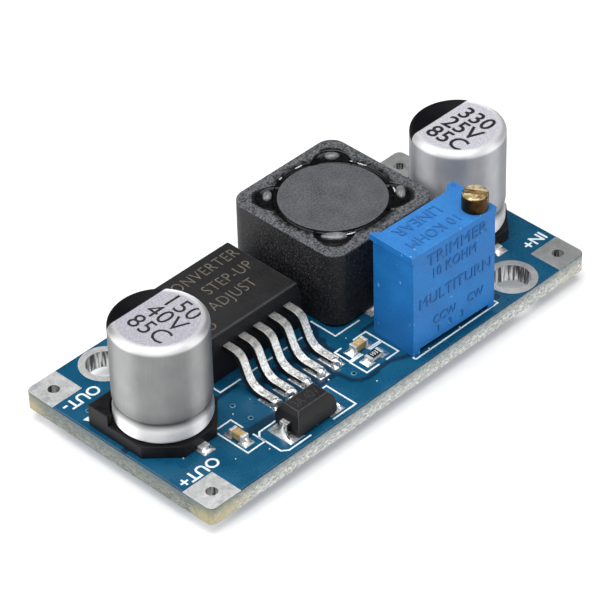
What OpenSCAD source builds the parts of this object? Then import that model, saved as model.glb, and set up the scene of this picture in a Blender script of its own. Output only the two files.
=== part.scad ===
// Adjustable step-up converter module: a small circuit board with its soldered parts.
// X runs from the output end to the input end, Y towards the back edge and Z up.
// The origin is midway between the two mounting holes, on the underside of the board.

/* [Board] */
// Thickness of the laminate
board_thickness = 1.6; // [0.8:0.1:2.4]
// Radius of the board's corners
board_corner_radius = 0.6; // [0.1:0.05:1.2]
// Bare strip between a capacitor base and the end of the board
end_margin = 0.55; // [0.1:0.05:3]
// Thickness of the tinned copper on both faces
copper_thickness = 0.05; // [0.03:0.01:0.1]
// Thickness of the plated and tinned wall inside a hole
plating = 0.16; // [0.05:0.01:0.2]
// Bore of a plated mounting hole
mount_hole_diameter = 3.2; // [2:0.1:3.6]
// Width of the tinned ring round a mounting hole
mount_ring_width = 0.6; // [0.3:0.1:0.8]
// Bare strip between a mounting ring and the long edge
mount_ring_margin = 0.1; // [0.05:0.05:0.5]
// Distance of a mounting hole from the end of the board
mount_hole_inset = 6.55; // [5.6:0.05:7.5]
// Size of a corner wire pad along X
pad_length = 3.2; // [2:0.1:4]
// Size of a corner wire pad along Y
pad_width = 3.16; // [2:0.02:4]
// Bare strip between a wire pad and the board's edges
pad_margin = 0.02; // [0.02:0.01:0.5]
// Bore of a plated wire hole
wire_hole_diameter = 1.0; // [0.6:0.1:1.5]

/* [Capacitors] */
// Diameter of a capacitor's can
can_diameter = 8.0; // [6:0.1:8.8]
// Height of a capacitor above its copper land
capacitor_height = 10.5; // [8:0.1:14]
// Rounding of the can's top edge
can_shoulder = 0.5; // [0.3:0.05:1.5]
// Depth of the groove rolled into the can
groove_depth = 0.42; // [0.1:0.02:0.6]
// Height of the groove above the base
groove_height = 1.85; // [1.5:0.05:4]
// Rounding of the can's wall where it turns into the groove
wall_round = 0.7; // [0.65:0.05:1.2]
// Rounding of the ring below the groove
ring_round = 1.1; // [0.7:0.05:1.3]
// Rounding of the ring's lower edge
can_curl = 0.45; // [0.1:0.05:0.6]
// How much wider the square base is than the can
base_overhang = 0.3; // [0.1:0.05:1]
// Thickness of the base
base_height = 1.1; // [0.8:0.1:2.5]
// Height of the two corner posts above the base
post_height = 0.95; // [0.2:0.05:1.5]
// Distance of the corner posts' front from the can's axis
post_start = 1.95; // [0.7:0.05:2.5]
// Gap between the can and the corner posts
post_gap = 0.2; // [0.1:0.05:0.5]
// Chamfer on the two corners that mark the positive side
base_chamfer = 2.4; // [1:0.1:2.6]
// Width of a capacitor lead
capacitor_lead_width = 0.9; // [0.5:0.1:1.5]
// Thickness of a capacitor lead
capacitor_lead_thickness = 0.3; // [0.1:0.05:0.5]
// Length of lead that shows beyond the base
capacitor_lead_reach = 0.5; // [0.2:0.1:1]
// Distance of a lead's inner end from the can's axis
capacitor_lead_start = 1.5; // [0.5:0.1:2.5]
// How far the capacitors sit in front of the board's middle
capacitor_setback = 0.5; // [0:0.1:1.2]
// Gap between the output capacitor's base and the regulator
capacitor_gap = 1.7; // [0.5:0.1:4]

/* [Regulator] */
// Width of the regulator's moulding
regulator_width = 10.1; // [8:0.1:12]
// Length of the regulator's moulding
regulator_length = 8.3; // [7:0.1:10]
// Height of the regulator above its copper land
regulator_height = 4.45; // [3.6:0.05:6]
// Slope of the moulding's faces, as the inset at the top
regulator_draft = 0.2; // [0:0.02:0.5]
// Bevel round the moulding's top
regulator_bevel = 0.08; // [0.03:0.01:0.3]
// Thickness of the metal tab
tab_thickness = 1.3; // [0.8:0.1:2]
// Length of tab that shows behind the moulding
tab_reach = 1.4; // [0.5:0.1:2]
// Inset of the tab from the moulding's sides
tab_inset = 0.4; // [0.1:0.1:1]
// Length of the moulding in front of the tab
tab_setback = 1.5; // [0.5:0.1:3]
// Bare strip between the tab and the back edge of the board
tab_margin = 0.8; // [0.2:0.1:2]
// Number of regulator leads
lead_count = 5; // [2:1:6]
// Distance between neighbouring leads
lead_pitch = 1.7; // [1.2:0.05:2]
// Width of a lead
lead_width = 0.8; // [0.4:0.05:1]
// Thickness of a lead
lead_thickness = 0.5; // [0.3:0.05:0.7]
// Height of a lead's middle where it leaves the moulding
lead_height = 2.95; // [2:0.05:3.5]
// Length of lead held inside the moulding
lead_root = 0.8; // [0.4:0.1:1.5]
// Straight length of lead in front of the moulding
lead_shoulder = 0.95; // [0.5:0.05:2]
// Radius of a lead's upper bend, along its middle
lead_bend_radius = 0.85; // [0.5:0.05:1.2]
// Radius of a lead's lower bend, along its middle
lead_heel_radius = 1.75; // [0.5:0.05:2.2]
// Angle of the lead's steep part from the level
lead_slope = 66; // [45:1:85]
// Length of a lead's flat foot
lead_foot = 1.54; // [1:0.02:3]
// Gap between the regulator and the inductor
regulator_gap = 1.25; // [0.5:0.05:3]

/* [Inductor] */
// Side of the inductor's square shield
inductor_size = 12.0; // [10.6:0.1:15]
// Height of the inductor above its copper land
inductor_height = 7.3; // [4:0.1:10]
// Radius of the shield's upright corners
shield_corner_radius = 1.5; // [0.5:0.1:3]
// Diameter of the shield's round well
well_diameter = 9.9; // [7.5:0.1:11]
// Radius of a glue pocket in the corners of the well
pocket_radius = 1.7; // [0.8:0.1:2]
// Distance of a glue pocket's centre from the well's axis
pocket_offset = 4.6; // [3:0.1:5.5]
// Depth of the glue pockets
pocket_depth = 1.1; // [0.5:0.1:2]
// How far the glue lies below the shield's rim
glue_sink = 0.2; // [0.05:0.05:0.5]
// Gap between the core's flange and the well
flange_gap = 0.4; // [0.2:0.05:0.8]
// Thickness of the core's two flanges
flange_thickness = 1.4; // [1.2:0.1:2.5]
// Diameter of the core's post
post_diameter = 4.6; // [3:0.1:6]
// Gap between the winding and the well
winding_gap = 0.6; // [0.3:0.1:1.5]
// Thickness of an inductor terminal
terminal_thickness = 0.15; // [0.1:0.05:0.5]
// Width of an inductor terminal
terminal_width = 5.0; // [3:0.1:7]
// Length of terminal below the shield
terminal_length = 3.0; // [2:0.1:4]
// Length of terminal that shows beyond the shield
terminal_reach = 0.2; // [0.05:0.05:1]
// Bare strip between the inductor and the back edge of the board
inductor_margin = 1.15; // [0.3:0.05:3]
// Gap between the inductor and the input capacitor's base
inductor_gap = 0.65; // [0.3:0.05:3]

/* [Trimmer] */
// Length of the trimmer's top plate
trimmer_length = 9.53; // [7:0.01:12]
// Depth of the trimmer's top plate
trimmer_depth = 4.83; // [4:0.01:7]
// Height of the trimmer above the board, without its screw
trimmer_height = 10.03; // [7:0.01:13]
// Thickness of the top plate
top_plate_thickness = 0.6; // [0.4:0.05:1]
// Overhang of the top plate at the two ends
top_plate_overhang = 0.14; // [0.05:0.01:0.3]
// Overhang of the top plate at the back
top_plate_back = 0.33; // [0.1:0.01:0.8]
// Depth by which the top plate is drawn in along its back
plate_notch_depth = 0.6; // [0.1:0.05:0.8]
// Length over which it slopes in, at both ends
plate_notch_slope = 0.75; // [0.2:0.05:1.5]
// Length of the full-depth tab at the top plate's right end
plate_tab = 0.7; // [0.3:0.05:2]
// Height of the two end walls that the trimmer stands on
foot_height = 0.5; // [0.2:0.05:1]
// Thickness of the housing's walls round the resin
foot_wall = 0.7; // [0.4:0.05:1]
// Depth of the resin
resin_depth = 1.0; // [0.5:0.1:2]
// Gap between the trimmer and the front edge of the board
trimmer_margin = 1.17; // [0.3:0.01:3]
// Gap between the trimmer and the inductor
trimmer_gap = 1.85; // [0.5:0.05:4]
// How far the trimmer starts to the right of the inductor's left side
trimmer_start = 1.8; // [0:0.1:4]
// How far the trimmer stands turned about its left front corner
trimmer_turn = -1.8; // [-3:0.1:3]
// Diameter of a pin
pin_diameter = 0.5; // [0.4:0.05:0.8]
// Distance between neighbouring pins
pin_pitch = 2.54; // [2:0.01:3]
// Length of pin that shows below the board
pin_reach = 1.1; // [0.5:0.1:3]
// Length of pin held in the housing above the resin
pin_root = 2.0; // [1:0.1:4]
// Slack round a pin in the housing, the resin and the solder
pin_slack = 0.02; // [0.01:0.01:0.1]
// Bore of a pin's hole in the board
pin_hole_diameter = 0.9; // [0.7:0.05:1.2]
// Diameter of the solder cone at the board
solder_diameter = 1.9; // [1.2:0.1:2.4]
// Height of the solder cone
solder_height = 0.7; // [0.3:0.1:1]
// Thickness of the solder round the pin at the cone's tip
solder_tip = 0.04; // [0.02:0.01:0.15]

/* [Adjusting screw] */
// Diameter of the screw's head
screw_head_diameter = 2.2; // [1.5:0.05:2.6]
// Height of the screw's head
screw_head_height = 1.5; // [0.8:0.05:2.5]
// Bevel round the top of the head
screw_head_bevel = 0.15; // [0.05:0.01:0.4]
// Width of the screwdriver slot
slot_width = 0.55; // [0.3:0.05:0.8]
// Depth of the screwdriver slot
slot_depth = 0.7; // [0.3:0.05:1.2]
// Direction of the slot, turned from X
slot_angle = -57; // [-90:1:90]
// Diameter of the screw's shank
shank_diameter = 1.2; // [0.8:0.05:1.6]
// Length of the screw's shank
shank_length = 3.0; // [1.5:0.1:5]
// Running clearance round the shank and below it
shank_clearance = 0.05; // [0.02:0.01:0.1]
// Distance of the screw's axis from the trimmer's right end
screw_inset_x = 1.25; // [1.1:0.05:2]
// Distance of the screw's axis from the trimmer's front
screw_inset_y = 1.2; // [1.1:0.05:2]

/* [Diode] */
// Length of the diode's moulding
diode_length = 4.3; // [3:0.1:6]
// Width of the diode's moulding
diode_width = 2.6; // [2:0.1:4]
// Height of the diode above its copper land
diode_height = 2.2; // [1.5:0.05:3]
// Slope of the moulding's faces, as the inset at the top
diode_draft = 0.18; // [0:0.01:0.3]
// Bevel round the moulding's top
diode_bevel = 0.36; // [0.05:0.01:0.5]
// Width of a diode lead
diode_lead_width = 0.8; // [0.5:0.05:2]
// Thickness of a diode lead
diode_lead_thickness = 0.2; // [0.1:0.02:0.3]
// Length of a diode lead's foot below the moulding
diode_lead_foot = 1.1; // [0.6:0.1:1.6]
// Height at which a diode lead enters the moulding
diode_lead_height = 1.2; // [0.6:0.05:1.6]
// Gap between a diode lead and the end of the moulding
diode_lead_gap = 0.2; // [0.05:0.05:0.5]
// Length of a diode lead held inside the moulding
diode_lead_root = 0.4; // [0.2:0.05:1]
// Bare strip between the diode and the front edge of the board
diode_margin = 0.9; // [0.3:0.1:3]
// How far the diode sits to the left of the regulator's middle
diode_shift = 3.0; // [1:0.1:4]

/* [Chip parts] */
// Length of a chip part
chip_length = 1.5; // [1:0.1:2]
// Width of a chip part
chip_width = 0.75; // [0.5:0.05:1.25]
// Height of a chip capacitor
chip_capacitor_height = 0.7; // [0.4:0.05:1]
// Height of the chip resistor
chip_resistor_height = 0.45; // [0.3:0.05:0.6]
// Thickness of the resistor's dark coat
resistor_coat = 0.08; // [0.03:0.01:0.15]
// Length of a chip part's metal end
chip_end = 0.28; // [0.15:0.01:0.4]
// How far a metal end stands proud of the chip's body
chip_end_lip = 0.03; // [0.01:0.01:0.06]
// Gap between the chip pair's copper and the trimmer
chip_pair_gap = 0.78; // [0.3:0.01:1.2]
// Distance of the pair's capacitor in front of the inductor
pair_capacitor_inset = 2.69; // [1.5:0.01:4]
// Distance between the pair's two chips
chip_pair_pitch = 1.69; // [1.4:0.01:3]
// Distance of the output chip from the right side of the capacitor's base
output_chip_inset_x = 1.45; // [0.7:0.01:2]
// Distance of the output chip from the front side of the capacitor's base
output_chip_inset_y = 1.4; // [1.3:0.01:3]

/* [Copper lands] */
// Copper that shows beside a lead or a metal end
land_side = 0.15; // [0.05:0.05:0.3]
// Copper that shows beyond a lead, a terminal or a metal end
land_front = 0.5; // [0.2:0.05:0.6]
// Copper below a chip's body, inside its metal end
land_inner = 0.1; // [0:0.05:0.3]

/* [Hidden] */
$fn = 48;
cut = 0.5;
seam = 0.001;
copper_gap = 0.3;

// The board is as long and as wide as its rows of parts
base_size = can_diameter + base_overhang;
inductor_column = max(inductor_size, trimmer_start + trimmer_length);
board_length = 2 * end_margin + 2 * base_size + capacitor_gap + regulator_width
  + regulator_gap + inductor_column + inductor_gap;

// Both bends turn by lead_slope, and the steep part makes up the rest of the drop
lead_drop = lead_height - lead_thickness / 2;
lead_radii = lead_bend_radius + lead_heel_radius;
lead_steep = (lead_drop - lead_radii * (1 - cos(lead_slope))) / sin(lead_slope);
lead_run = lead_radii * sin(lead_slope) + lead_steep * cos(lead_slope);
lead_reach = lead_shoulder + lead_run + lead_foot;

inductor_row = trimmer_margin + trimmer_depth + trimmer_gap + inductor_size + inductor_margin;
regulator_row = diode_margin + diode_width + copper_gap + land_front + lead_reach
  + regulator_length + tab_reach + tab_margin;
board_width = max(inductor_row, regulator_row);

left = -board_length / 2;
right = board_length / 2;
front = -board_width / 2;
back = board_width / 2;
board_top = board_thickness;
seat = board_top + copper_thickness;

mount_ring_diameter = mount_hole_diameter + 2 * mount_ring_width;
mount_x = right - mount_hole_inset;
mount_y = back - mount_ring_margin - mount_ring_diameter / 2;
pad_x = right - pad_margin - pad_length / 2;
pad_y = back - pad_margin - pad_width / 2;

output_x = left + end_margin + base_size / 2;
input_x = right - end_margin - base_size / 2;
capacitor_y = -capacitor_setback;
can_bottom = seat + base_height;
can_height = capacitor_height - base_height;
capacitor_lead_end = base_size / 2 + capacitor_lead_reach;

// The wall and the ring both round in to the groove's depth, and meet there
ring_height = groove_height + ring_round - sqrt(pow(ring_round, 2) - pow(ring_round - groove_depth, 2));
wall_bottom = groove_height - wall_round + sqrt(pow(wall_round, 2) - pow(wall_round - groove_depth, 2));

regulator_x = output_x + base_size / 2 + capacitor_gap + regulator_width / 2;
regulator_back = back - tab_margin - tab_reach;
regulator_front = regulator_back - regulator_length;
tab_width = regulator_width - 2 * tab_inset;
tab_front = regulator_front + tab_setback;

inductor_left = regulator_x + regulator_width / 2 + regulator_gap;
inductor_x = inductor_left + inductor_size / 2;
inductor_y = back - inductor_margin - inductor_size / 2;
inductor_front = inductor_y - inductor_size / 2;
inductor_top = seat + inductor_height;
shield_bottom = seat + terminal_thickness;
flange_diameter = well_diameter - 2 * flange_gap;
winding_diameter = well_diameter - 2 * winding_gap;
window_height = inductor_top - shield_bottom - 2 * flange_thickness;

trimmer_left = inductor_left + trimmer_start;
trimmer_right = trimmer_left + trimmer_length;
trimmer_x = (trimmer_left + trimmer_right) / 2;
trimmer_front = front + trimmer_margin;
trimmer_back = trimmer_front + trimmer_depth;
trimmer_top = board_top + trimmer_height;
case_left = trimmer_left + top_plate_overhang;
case_right = trimmer_right - top_plate_overhang;
case_back = trimmer_back - top_plate_back;
case_bottom = board_top + foot_height;
resin_top = case_bottom + resin_depth;
pin_y = (trimmer_front + case_back) / 2;
pin_top = resin_top + pin_root;
pin_bore = pin_diameter + 2 * pin_slack;
notch_back = trimmer_back - plate_notch_depth;
screw_x = trimmer_right - screw_inset_x;
screw_y = trimmer_front + screw_inset_y;

diode_x = regulator_x - diode_shift;
diode_y = front + diode_margin + diode_width / 2;
diode_bottom = seat + diode_lead_thickness;
diode_span = diode_length / 2 + diode_lead_gap + diode_lead_thickness;

pair_x = trimmer_left - chip_pair_gap - land_front - chip_length / 2;
pair_capacitor_y = inductor_front - pair_capacitor_inset;
pair_resistor_y = pair_capacitor_y - chip_pair_pitch;
output_chip_x = output_x + base_size / 2 - output_chip_inset_x;
output_chip_y = capacitor_y - base_size / 2 - output_chip_inset_y;

// A box from its low corner to its high corner
module block(low, high) {
  translate(low) cube(high - low);
}

// The plan of a plate with rounded corners
module rounded_plan(size_x, size_y, radius) {
  square([size_x - 2 * radius, size_y], center = true);
  square([size_x, size_y - 2 * radius], center = true);
  for (side_x = [-1, 1], side_y = [-1, 1])
    translate([side_x * (size_x / 2 - radius), side_y * (size_y / 2 - radius)])
      circle(radius);
}

// Half of a turned section, from the axis out to a radius, with its two outer corners rounded
module turned_half(radius, low, high, low_round, high_round) {
  intersection() {
    translate([0, low]) square([radius, high - low]);
    union() {
      translate([0, low]) square([radius - low_round, low_round]);
      translate([radius - low_round, low + low_round]) circle(low_round);
      translate([0, low + low_round]) square([radius, high - low - low_round - high_round]);
      translate([radius - high_round, high - high_round]) circle(high_round);
      translate([0, high - high_round]) square([radius - high_round, high_round]);
    }
  }
}

// The outline of a moulding seen from one side: upright below, sloping in above, bevelled on top
module drafted_outline(length, height, waist, draft, bevel) {
  side = length / 2;
  top = side - draft;
  polygon([
    [-side, 0], [side, 0], [side, waist],
    [top, height - bevel], [top - bevel, height],
    [bevel - top, height], [-top, height - bevel], [-side, waist]
  ]);
}

// A moulding with sloping faces, centred on X and Y and standing on its origin's level
module moulding(length, width, height, waist, draft, bevel) {
  intersection() {
    translate([0, width / 2, 0]) rotate([90, 0, 0]) linear_extrude(width)
      drafted_outline(length, height, waist, draft, bevel);
    translate([-length / 2, 0, 0]) rotate([90, 0, 90]) linear_extrude(length)
      drafted_outline(width, height, waist, draft, bevel);
  }
}

module at_mounting_holes() {
  for (side = [-1, 1]) translate([side * mount_x, -side * mount_y, 0]) children();
}

module at_wire_holes() {
  for (side_x = [-1, 1], side_y = [-1, 1])
    translate([side_x * pad_x, side_y * pad_y, 0]) children();
}

// The trimmer as a whole stands slightly turned about its left front corner
module turned_trimmer() {
  translate([trimmer_left, trimmer_front, 0]) rotate([0, 0, trimmer_turn])
    translate([-trimmer_left, -trimmer_front, 0]) children();
}

module at_pins() {
  for (step = [-1, 0, 1]) translate([trimmer_x + step * pin_pitch, pin_y, 0]) children();
}

module at_leads() {
  for (index = [0 : lead_count - 1])
    translate([regulator_x + (index - (lead_count - 1) / 2) * lead_pitch, regulator_front, 0])
      children();
}

// A round cutter that passes right through the board and its copper
module drill(diameter) {
  translate([0, 0, -cut]) cylinder(d = diameter, h = board_thickness + 2 * cut);
}

// Board

module circuit_board() {
  color("#155b85") difference() {
    linear_extrude(board_thickness) rounded_plan(board_length, board_width, board_corner_radius);
    at_mounting_holes() drill(mount_hole_diameter + 2 * plating);
    at_wire_holes() drill(wire_hole_diameter + 2 * plating);
    turned_trimmer() at_pins() drill(pin_hole_diameter);
  }
}

// The pads follow the board's rounded corners
module wire_pads() {
  color("#b9bcbe") difference() {
    union() {
      for (level = [-copper_thickness, board_top])
        translate([0, 0, level]) linear_extrude(copper_thickness) intersection() {
          at_wire_holes() square([pad_length, pad_width], center = true);
          rounded_plan(board_length - 2 * pad_margin, board_width - 2 * pad_margin, board_corner_radius);
        }
      at_wire_holes() cylinder(d = wire_hole_diameter + 2 * plating, h = board_thickness);
    }
    at_wire_holes() drill(wire_hole_diameter);
  }
}

module mounting_rings() {
  color("#b9bcbe") at_mounting_holes() difference() {
    union() {
      for (level = [-copper_thickness, board_top])
        translate([0, 0, level]) cylinder(d = mount_ring_diameter, h = copper_thickness);
      cylinder(d = mount_hole_diameter + 2 * plating, h = board_thickness);
    }
    drill(mount_hole_diameter);
  }
}

// One copper land on the top face, between two corners given in X and Y
module land(low, high) {
  block([low.x, low.y, board_top], [high.x, high.y, seat]);
}

// The two lands of a chip that lies along X
module chip_lands() {
  for (side = [-1, 1]) scale([side, 1, 1])
    land([chip_length / 2 - chip_end - land_inner, -chip_width / 2 - land_side],
      [chip_length / 2 + land_front, chip_width / 2 + land_side]);
}

// The two lands of a capacitor, in front of and behind its axis
module capacitor_lands() {
  for (side = [-1, 1]) scale([1, side, 1])
    land([-capacitor_lead_width / 2 - land_side, capacitor_lead_start],
      [capacitor_lead_width / 2 + land_side, capacitor_lead_end + land_front]);
}

module copper_lands() {
  color("#c3c5c6") {
    translate([output_x, capacitor_y, 0]) capacitor_lands();
    translate([input_x, capacitor_y, 0]) capacitor_lands();
    at_leads()
      land([-lead_width / 2 - land_side, -lead_reach - land_front],
        [lead_width / 2 + land_side, lead_foot - lead_reach]);
    translate([regulator_x, 0, 0])
      land([-tab_width / 2 - land_side, tab_front], [tab_width / 2 + land_side, back - land_side]);
    for (side = [-1, 1]) translate([inductor_x, inductor_y, 0]) scale([1, side, 1])
      land([-terminal_width / 2 - land_side, inductor_size / 2 - terminal_length],
        [terminal_width / 2 + land_side, inductor_size / 2 + terminal_reach + land_front]);
    for (side = [-1, 1]) translate([diode_x, diode_y, 0]) scale([side, 1, 1])
      land([diode_span - diode_lead_foot, -diode_width / 2], [diode_span + land_front, diode_width / 2]);
    translate([pair_x, pair_capacitor_y, 0]) chip_lands();
    translate([pair_x, pair_resistor_y, 0]) chip_lands();
    translate([output_chip_x, output_chip_y, 0]) rotate([0, 0, 90]) chip_lands();
  }
}

// Capacitors

// A can with a rounded shoulder, a rolled groove and a full ring below it
module can() {
  radius = can_diameter / 2;
  translate([0, 0, can_bottom]) rotate_extrude() {
    turned_half(radius, 0, ring_height, can_curl, ring_round);
    turned_half(radius, wall_bottom, can_height, wall_round, can_shoulder);
  }
}

// The base's plan: the two front corners are cut off to mark the positive side
module base_plan() {
  half = base_size / 2;
  polygon([
    [-half, half], [-half, base_chamfer - half], [base_chamfer - half, -half],
    [half - base_chamfer, -half], [half, base_chamfer - half], [half, half]
  ]);
}

module capacitor_base() {
  translate([0, 0, seat]) difference() {
    linear_extrude(base_height + post_height) base_plan();
    translate([0, 0, base_height])
      cylinder(d = can_diameter + 2 * post_gap, h = post_height + cut);
    translate([-base_size, -base_size, base_height])
      cube([2 * base_size, base_size + post_start, post_height + cut]);
    for (side = [-1, 1]) scale([1, side, 1])
      translate([-capacitor_lead_width / 2, capacitor_lead_start, -cut])
        cube([capacitor_lead_width, base_size, capacitor_lead_thickness + cut]);
  }
}

module capacitor_leads() {
  for (side = [-1, 1]) scale([1, side, 1])
    block([-capacitor_lead_width / 2, capacitor_lead_start, seat],
      [capacitor_lead_width / 2, capacitor_lead_end, seat + capacitor_lead_thickness]);
}

module output_can() {
  color("#b4b6ba") translate([output_x, capacitor_y, 0]) can();
}

module output_base() {
  color("#232325") translate([output_x, capacitor_y, 0]) capacitor_base();
}

module output_leads() {
  color("#cfd1d2") translate([output_x, capacitor_y, 0]) capacitor_leads();
}

module input_can() {
  color("#b4b6ba") translate([input_x, capacitor_y, 0]) can();
}

module input_base() {
  color("#232325") translate([input_x, capacitor_y, 0]) capacitor_base();
}

module input_leads() {
  color("#cfd1d2") translate([input_x, capacitor_y, 0]) capacitor_leads();
}

// Regulator

// One round bend of a lead about X, from angle zero at the level towards the slope
module lead_bend(radius) {
  rotate([90, 0, 90]) rotate_extrude(angle = lead_slope)
    translate([radius - lead_thickness / 2, -lead_width / 2])
      square([lead_thickness, lead_width]);
}

// A gull-wing lead that leaves the moulding at the origin's Y and runs towards the front
module gull_wing_lead() {
  half_width = lead_width / 2;
  half_thick = lead_thickness / 2;
  middle = seat + lead_height;
  slope_y = -lead_shoulder - lead_bend_radius * sin(lead_slope);
  slope_z = middle - lead_bend_radius * (1 - cos(lead_slope));
  foot_y = -lead_shoulder - lead_run;
  block([-half_width, -lead_shoulder, middle - half_thick],
    [half_width, lead_root, middle + half_thick]);
  translate([0, -lead_shoulder, middle - lead_bend_radius]) rotate([90, 0, 0])
    lead_bend(lead_bend_radius);
  translate([0, slope_y, slope_z]) rotate([lead_slope, 0, 0])
    block([-half_width, -lead_steep - seam, -half_thick], [half_width, seam, half_thick]);
  translate([0, foot_y, seat + half_thick + lead_heel_radius]) rotate([-90, 0, 0])
    lead_bend(lead_heel_radius);
  block([-half_width, -lead_reach, seat], [half_width, foot_y, seat + lead_thickness]);
}

module regulator_body() {
  color("#2e2d30") difference() {
    translate([regulator_x, regulator_front + regulator_length / 2, seat])
      moulding(regulator_width, regulator_length, regulator_height, lead_height, regulator_draft,
        regulator_bevel);
    regulator_tab_shape();
    at_leads()
      block([-lead_width / 2, -cut, seat + lead_height - lead_thickness / 2],
        [lead_width / 2, lead_root, seat + lead_height + lead_thickness / 2]);
  }
}

module regulator_tab_shape() {
  block([regulator_x - tab_width / 2, tab_front, seat],
    [regulator_x + tab_width / 2, regulator_back + tab_reach, seat + tab_thickness]);
}

module regulator_tab() {
  color("#c6c8c9") regulator_tab_shape();
}

module regulator_leads() {
  color("#d4d5d5") at_leads() gull_wing_lead();
}

// Inductor

module corner_pockets(height) {
  for (turn = [45 : 90 : 315]) rotate([0, 0, turn])
    translate([pocket_offset, 0, 0]) cylinder(r = pocket_radius, h = height);
}

module inductor_shield() {
  color("#3b3b3e") translate([inductor_x, inductor_y, 0]) difference() {
    translate([0, 0, shield_bottom]) linear_extrude(inductor_top - shield_bottom)
      rounded_plan(inductor_size, inductor_size, shield_corner_radius);
    translate([0, 0, shield_bottom - cut])
      cylinder(d = well_diameter, h = inductor_top - shield_bottom + 2 * cut);
    translate([0, 0, inductor_top - pocket_depth]) corner_pockets(pocket_depth + cut);
  }
}

module inductor_core() {
  color("#6a6b6e") translate([inductor_x, inductor_y, shield_bottom]) {
    cylinder(d = flange_diameter, h = flange_thickness);
    cylinder(d = post_diameter, h = window_height + 2 * flange_thickness);
    translate([0, 0, flange_thickness + window_height])
      cylinder(d = flange_diameter, h = flange_thickness);
  }
}

module inductor_winding() {
  color("#b5673a") translate([inductor_x, inductor_y, shield_bottom + flange_thickness])
    difference() {
      cylinder(d = winding_diameter, h = window_height);
      translate([0, 0, -cut]) cylinder(d = post_diameter, h = window_height + 2 * cut);
    }
}

module inductor_glue() {
  color("#121214") translate([inductor_x, inductor_y, inductor_top - pocket_depth])
    difference() {
      union() {
        cylinder(d = well_diameter, h = pocket_depth - glue_sink);
        corner_pockets(pocket_depth - glue_sink);
      }
      translate([0, 0, -cut]) cylinder(d = flange_diameter, h = pocket_depth + 2 * cut);
    }
}

module inductor_terminals() {
  color("#cfd1d2") for (side = [-1, 1])
    translate([inductor_x, inductor_y, 0]) scale([1, side, 1])
      block([-terminal_width / 2, inductor_size / 2 - terminal_length, seat],
        [terminal_width / 2, inductor_size / 2 + terminal_reach, shield_bottom]);
}

// Trimmer

// The top plate's plan: full depth at both back corners, drawn in between them
module top_plate_plan() {
  polygon([
    [trimmer_left, trimmer_front], [trimmer_right, trimmer_front], [trimmer_right, trimmer_back],
    [trimmer_right - plate_tab, trimmer_back],
    [trimmer_right - plate_tab - plate_notch_slope, notch_back],
    [trimmer_left + plate_notch_slope, notch_back], [trimmer_left, trimmer_back]
  ]);
}

module trimmer_housing() {
  color("#1f6fc4") turned_trimmer() difference() {
    union() {
      translate([0, 0, trimmer_top - top_plate_thickness]) linear_extrude(top_plate_thickness)
        top_plate_plan();
      block([case_left, trimmer_front, case_bottom],
        [case_right, case_back, trimmer_top - top_plate_thickness]);
      for (foot_x = [case_left, case_right - foot_wall])
        block([foot_x, trimmer_front, board_top], [foot_x + foot_wall, case_back, case_bottom]);
    }
    block([case_left + foot_wall, trimmer_front + foot_wall, case_bottom - cut],
      [case_right - foot_wall, case_back - foot_wall, resin_top]);
    at_pins() translate([0, 0, resin_top - cut])
      cylinder(d = pin_bore, h = pin_root + cut);
    translate([screw_x, screw_y, trimmer_top - shank_length - shank_clearance])
      cylinder(d = shank_diameter + 2 * shank_clearance, h = shank_length + shank_clearance + cut);
  }
}

module trimmer_resin() {
  color("#2a4a66") turned_trimmer() difference() {
    block([case_left + foot_wall, trimmer_front + foot_wall, case_bottom],
      [case_right - foot_wall, case_back - foot_wall, resin_top]);
    at_pins() translate([0, 0, case_bottom - cut])
      cylinder(d = pin_bore, h = resin_depth + 2 * cut);
  }
}

module trimmer_pins() {
  color("#d4d5d5") turned_trimmer() at_pins() translate([0, 0, -pin_reach])
    cylinder(d = pin_diameter, h = pin_top + pin_reach);
}

module trimmer_screw() {
  color("#b08d4a") turned_trimmer() translate([screw_x, screw_y, trimmer_top]) difference() {
    union() {
      translate([0, 0, -shank_length]) cylinder(d = shank_diameter, h = shank_length);
      cylinder(d = screw_head_diameter, h = screw_head_height - screw_head_bevel);
      translate([0, 0, screw_head_height - screw_head_bevel])
        cylinder(d1 = screw_head_diameter, d2 = screw_head_diameter - 2 * screw_head_bevel,
          h = screw_head_bevel);
    }
    rotate([0, 0, slot_angle])
      translate([-screw_head_diameter, -slot_width / 2, screw_head_height - slot_depth])
        cube([2 * screw_head_diameter, slot_width, slot_depth + cut]);
  }
}

// Solder fills each pin's hole and stands as a cone below the board
module pin_solder() {
  color("#c9cbcc") turned_trimmer() at_pins() difference() {
    union() {
      cylinder(d = pin_hole_diameter, h = board_thickness);
      translate([0, 0, -solder_height])
        cylinder(d1 = pin_bore + 2 * solder_tip, d2 = solder_diameter, h = solder_height);
    }
    translate([0, 0, -pin_reach])
      cylinder(d = pin_bore, h = pin_reach + board_thickness + cut);
  }
}

// Diode

module diode_body() {
  color("#2b2a2c") difference() {
    translate([diode_x, diode_y, diode_bottom])
      moulding(diode_length, diode_width, diode_height - diode_lead_thickness,
        diode_lead_height - diode_lead_thickness, diode_draft, diode_bevel);
    for (side = [-1, 1]) translate([diode_x, diode_y, seat]) scale([side, 1, 1])
      block([diode_length / 2 - diode_lead_root, -diode_lead_width / 2,
          diode_lead_height - diode_lead_thickness],
        [diode_length / 2 + cut, diode_lead_width / 2, diode_lead_height]);
  }
}

module diode_leads() {
  half = diode_lead_width / 2;
  color("#d4d5d5") for (side = [-1, 1]) translate([diode_x, diode_y, seat]) scale([side, 1, 1]) {
    block([diode_span - diode_lead_foot, -half, 0], [diode_span, half, diode_lead_thickness]);
    block([diode_span - diode_lead_thickness, -half, 0], [diode_span, half, diode_lead_height]);
    block([diode_length / 2 - diode_lead_root, -half, diode_lead_height - diode_lead_thickness],
      [diode_span, half, diode_lead_height]);
  }
}

// Chip parts

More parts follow.
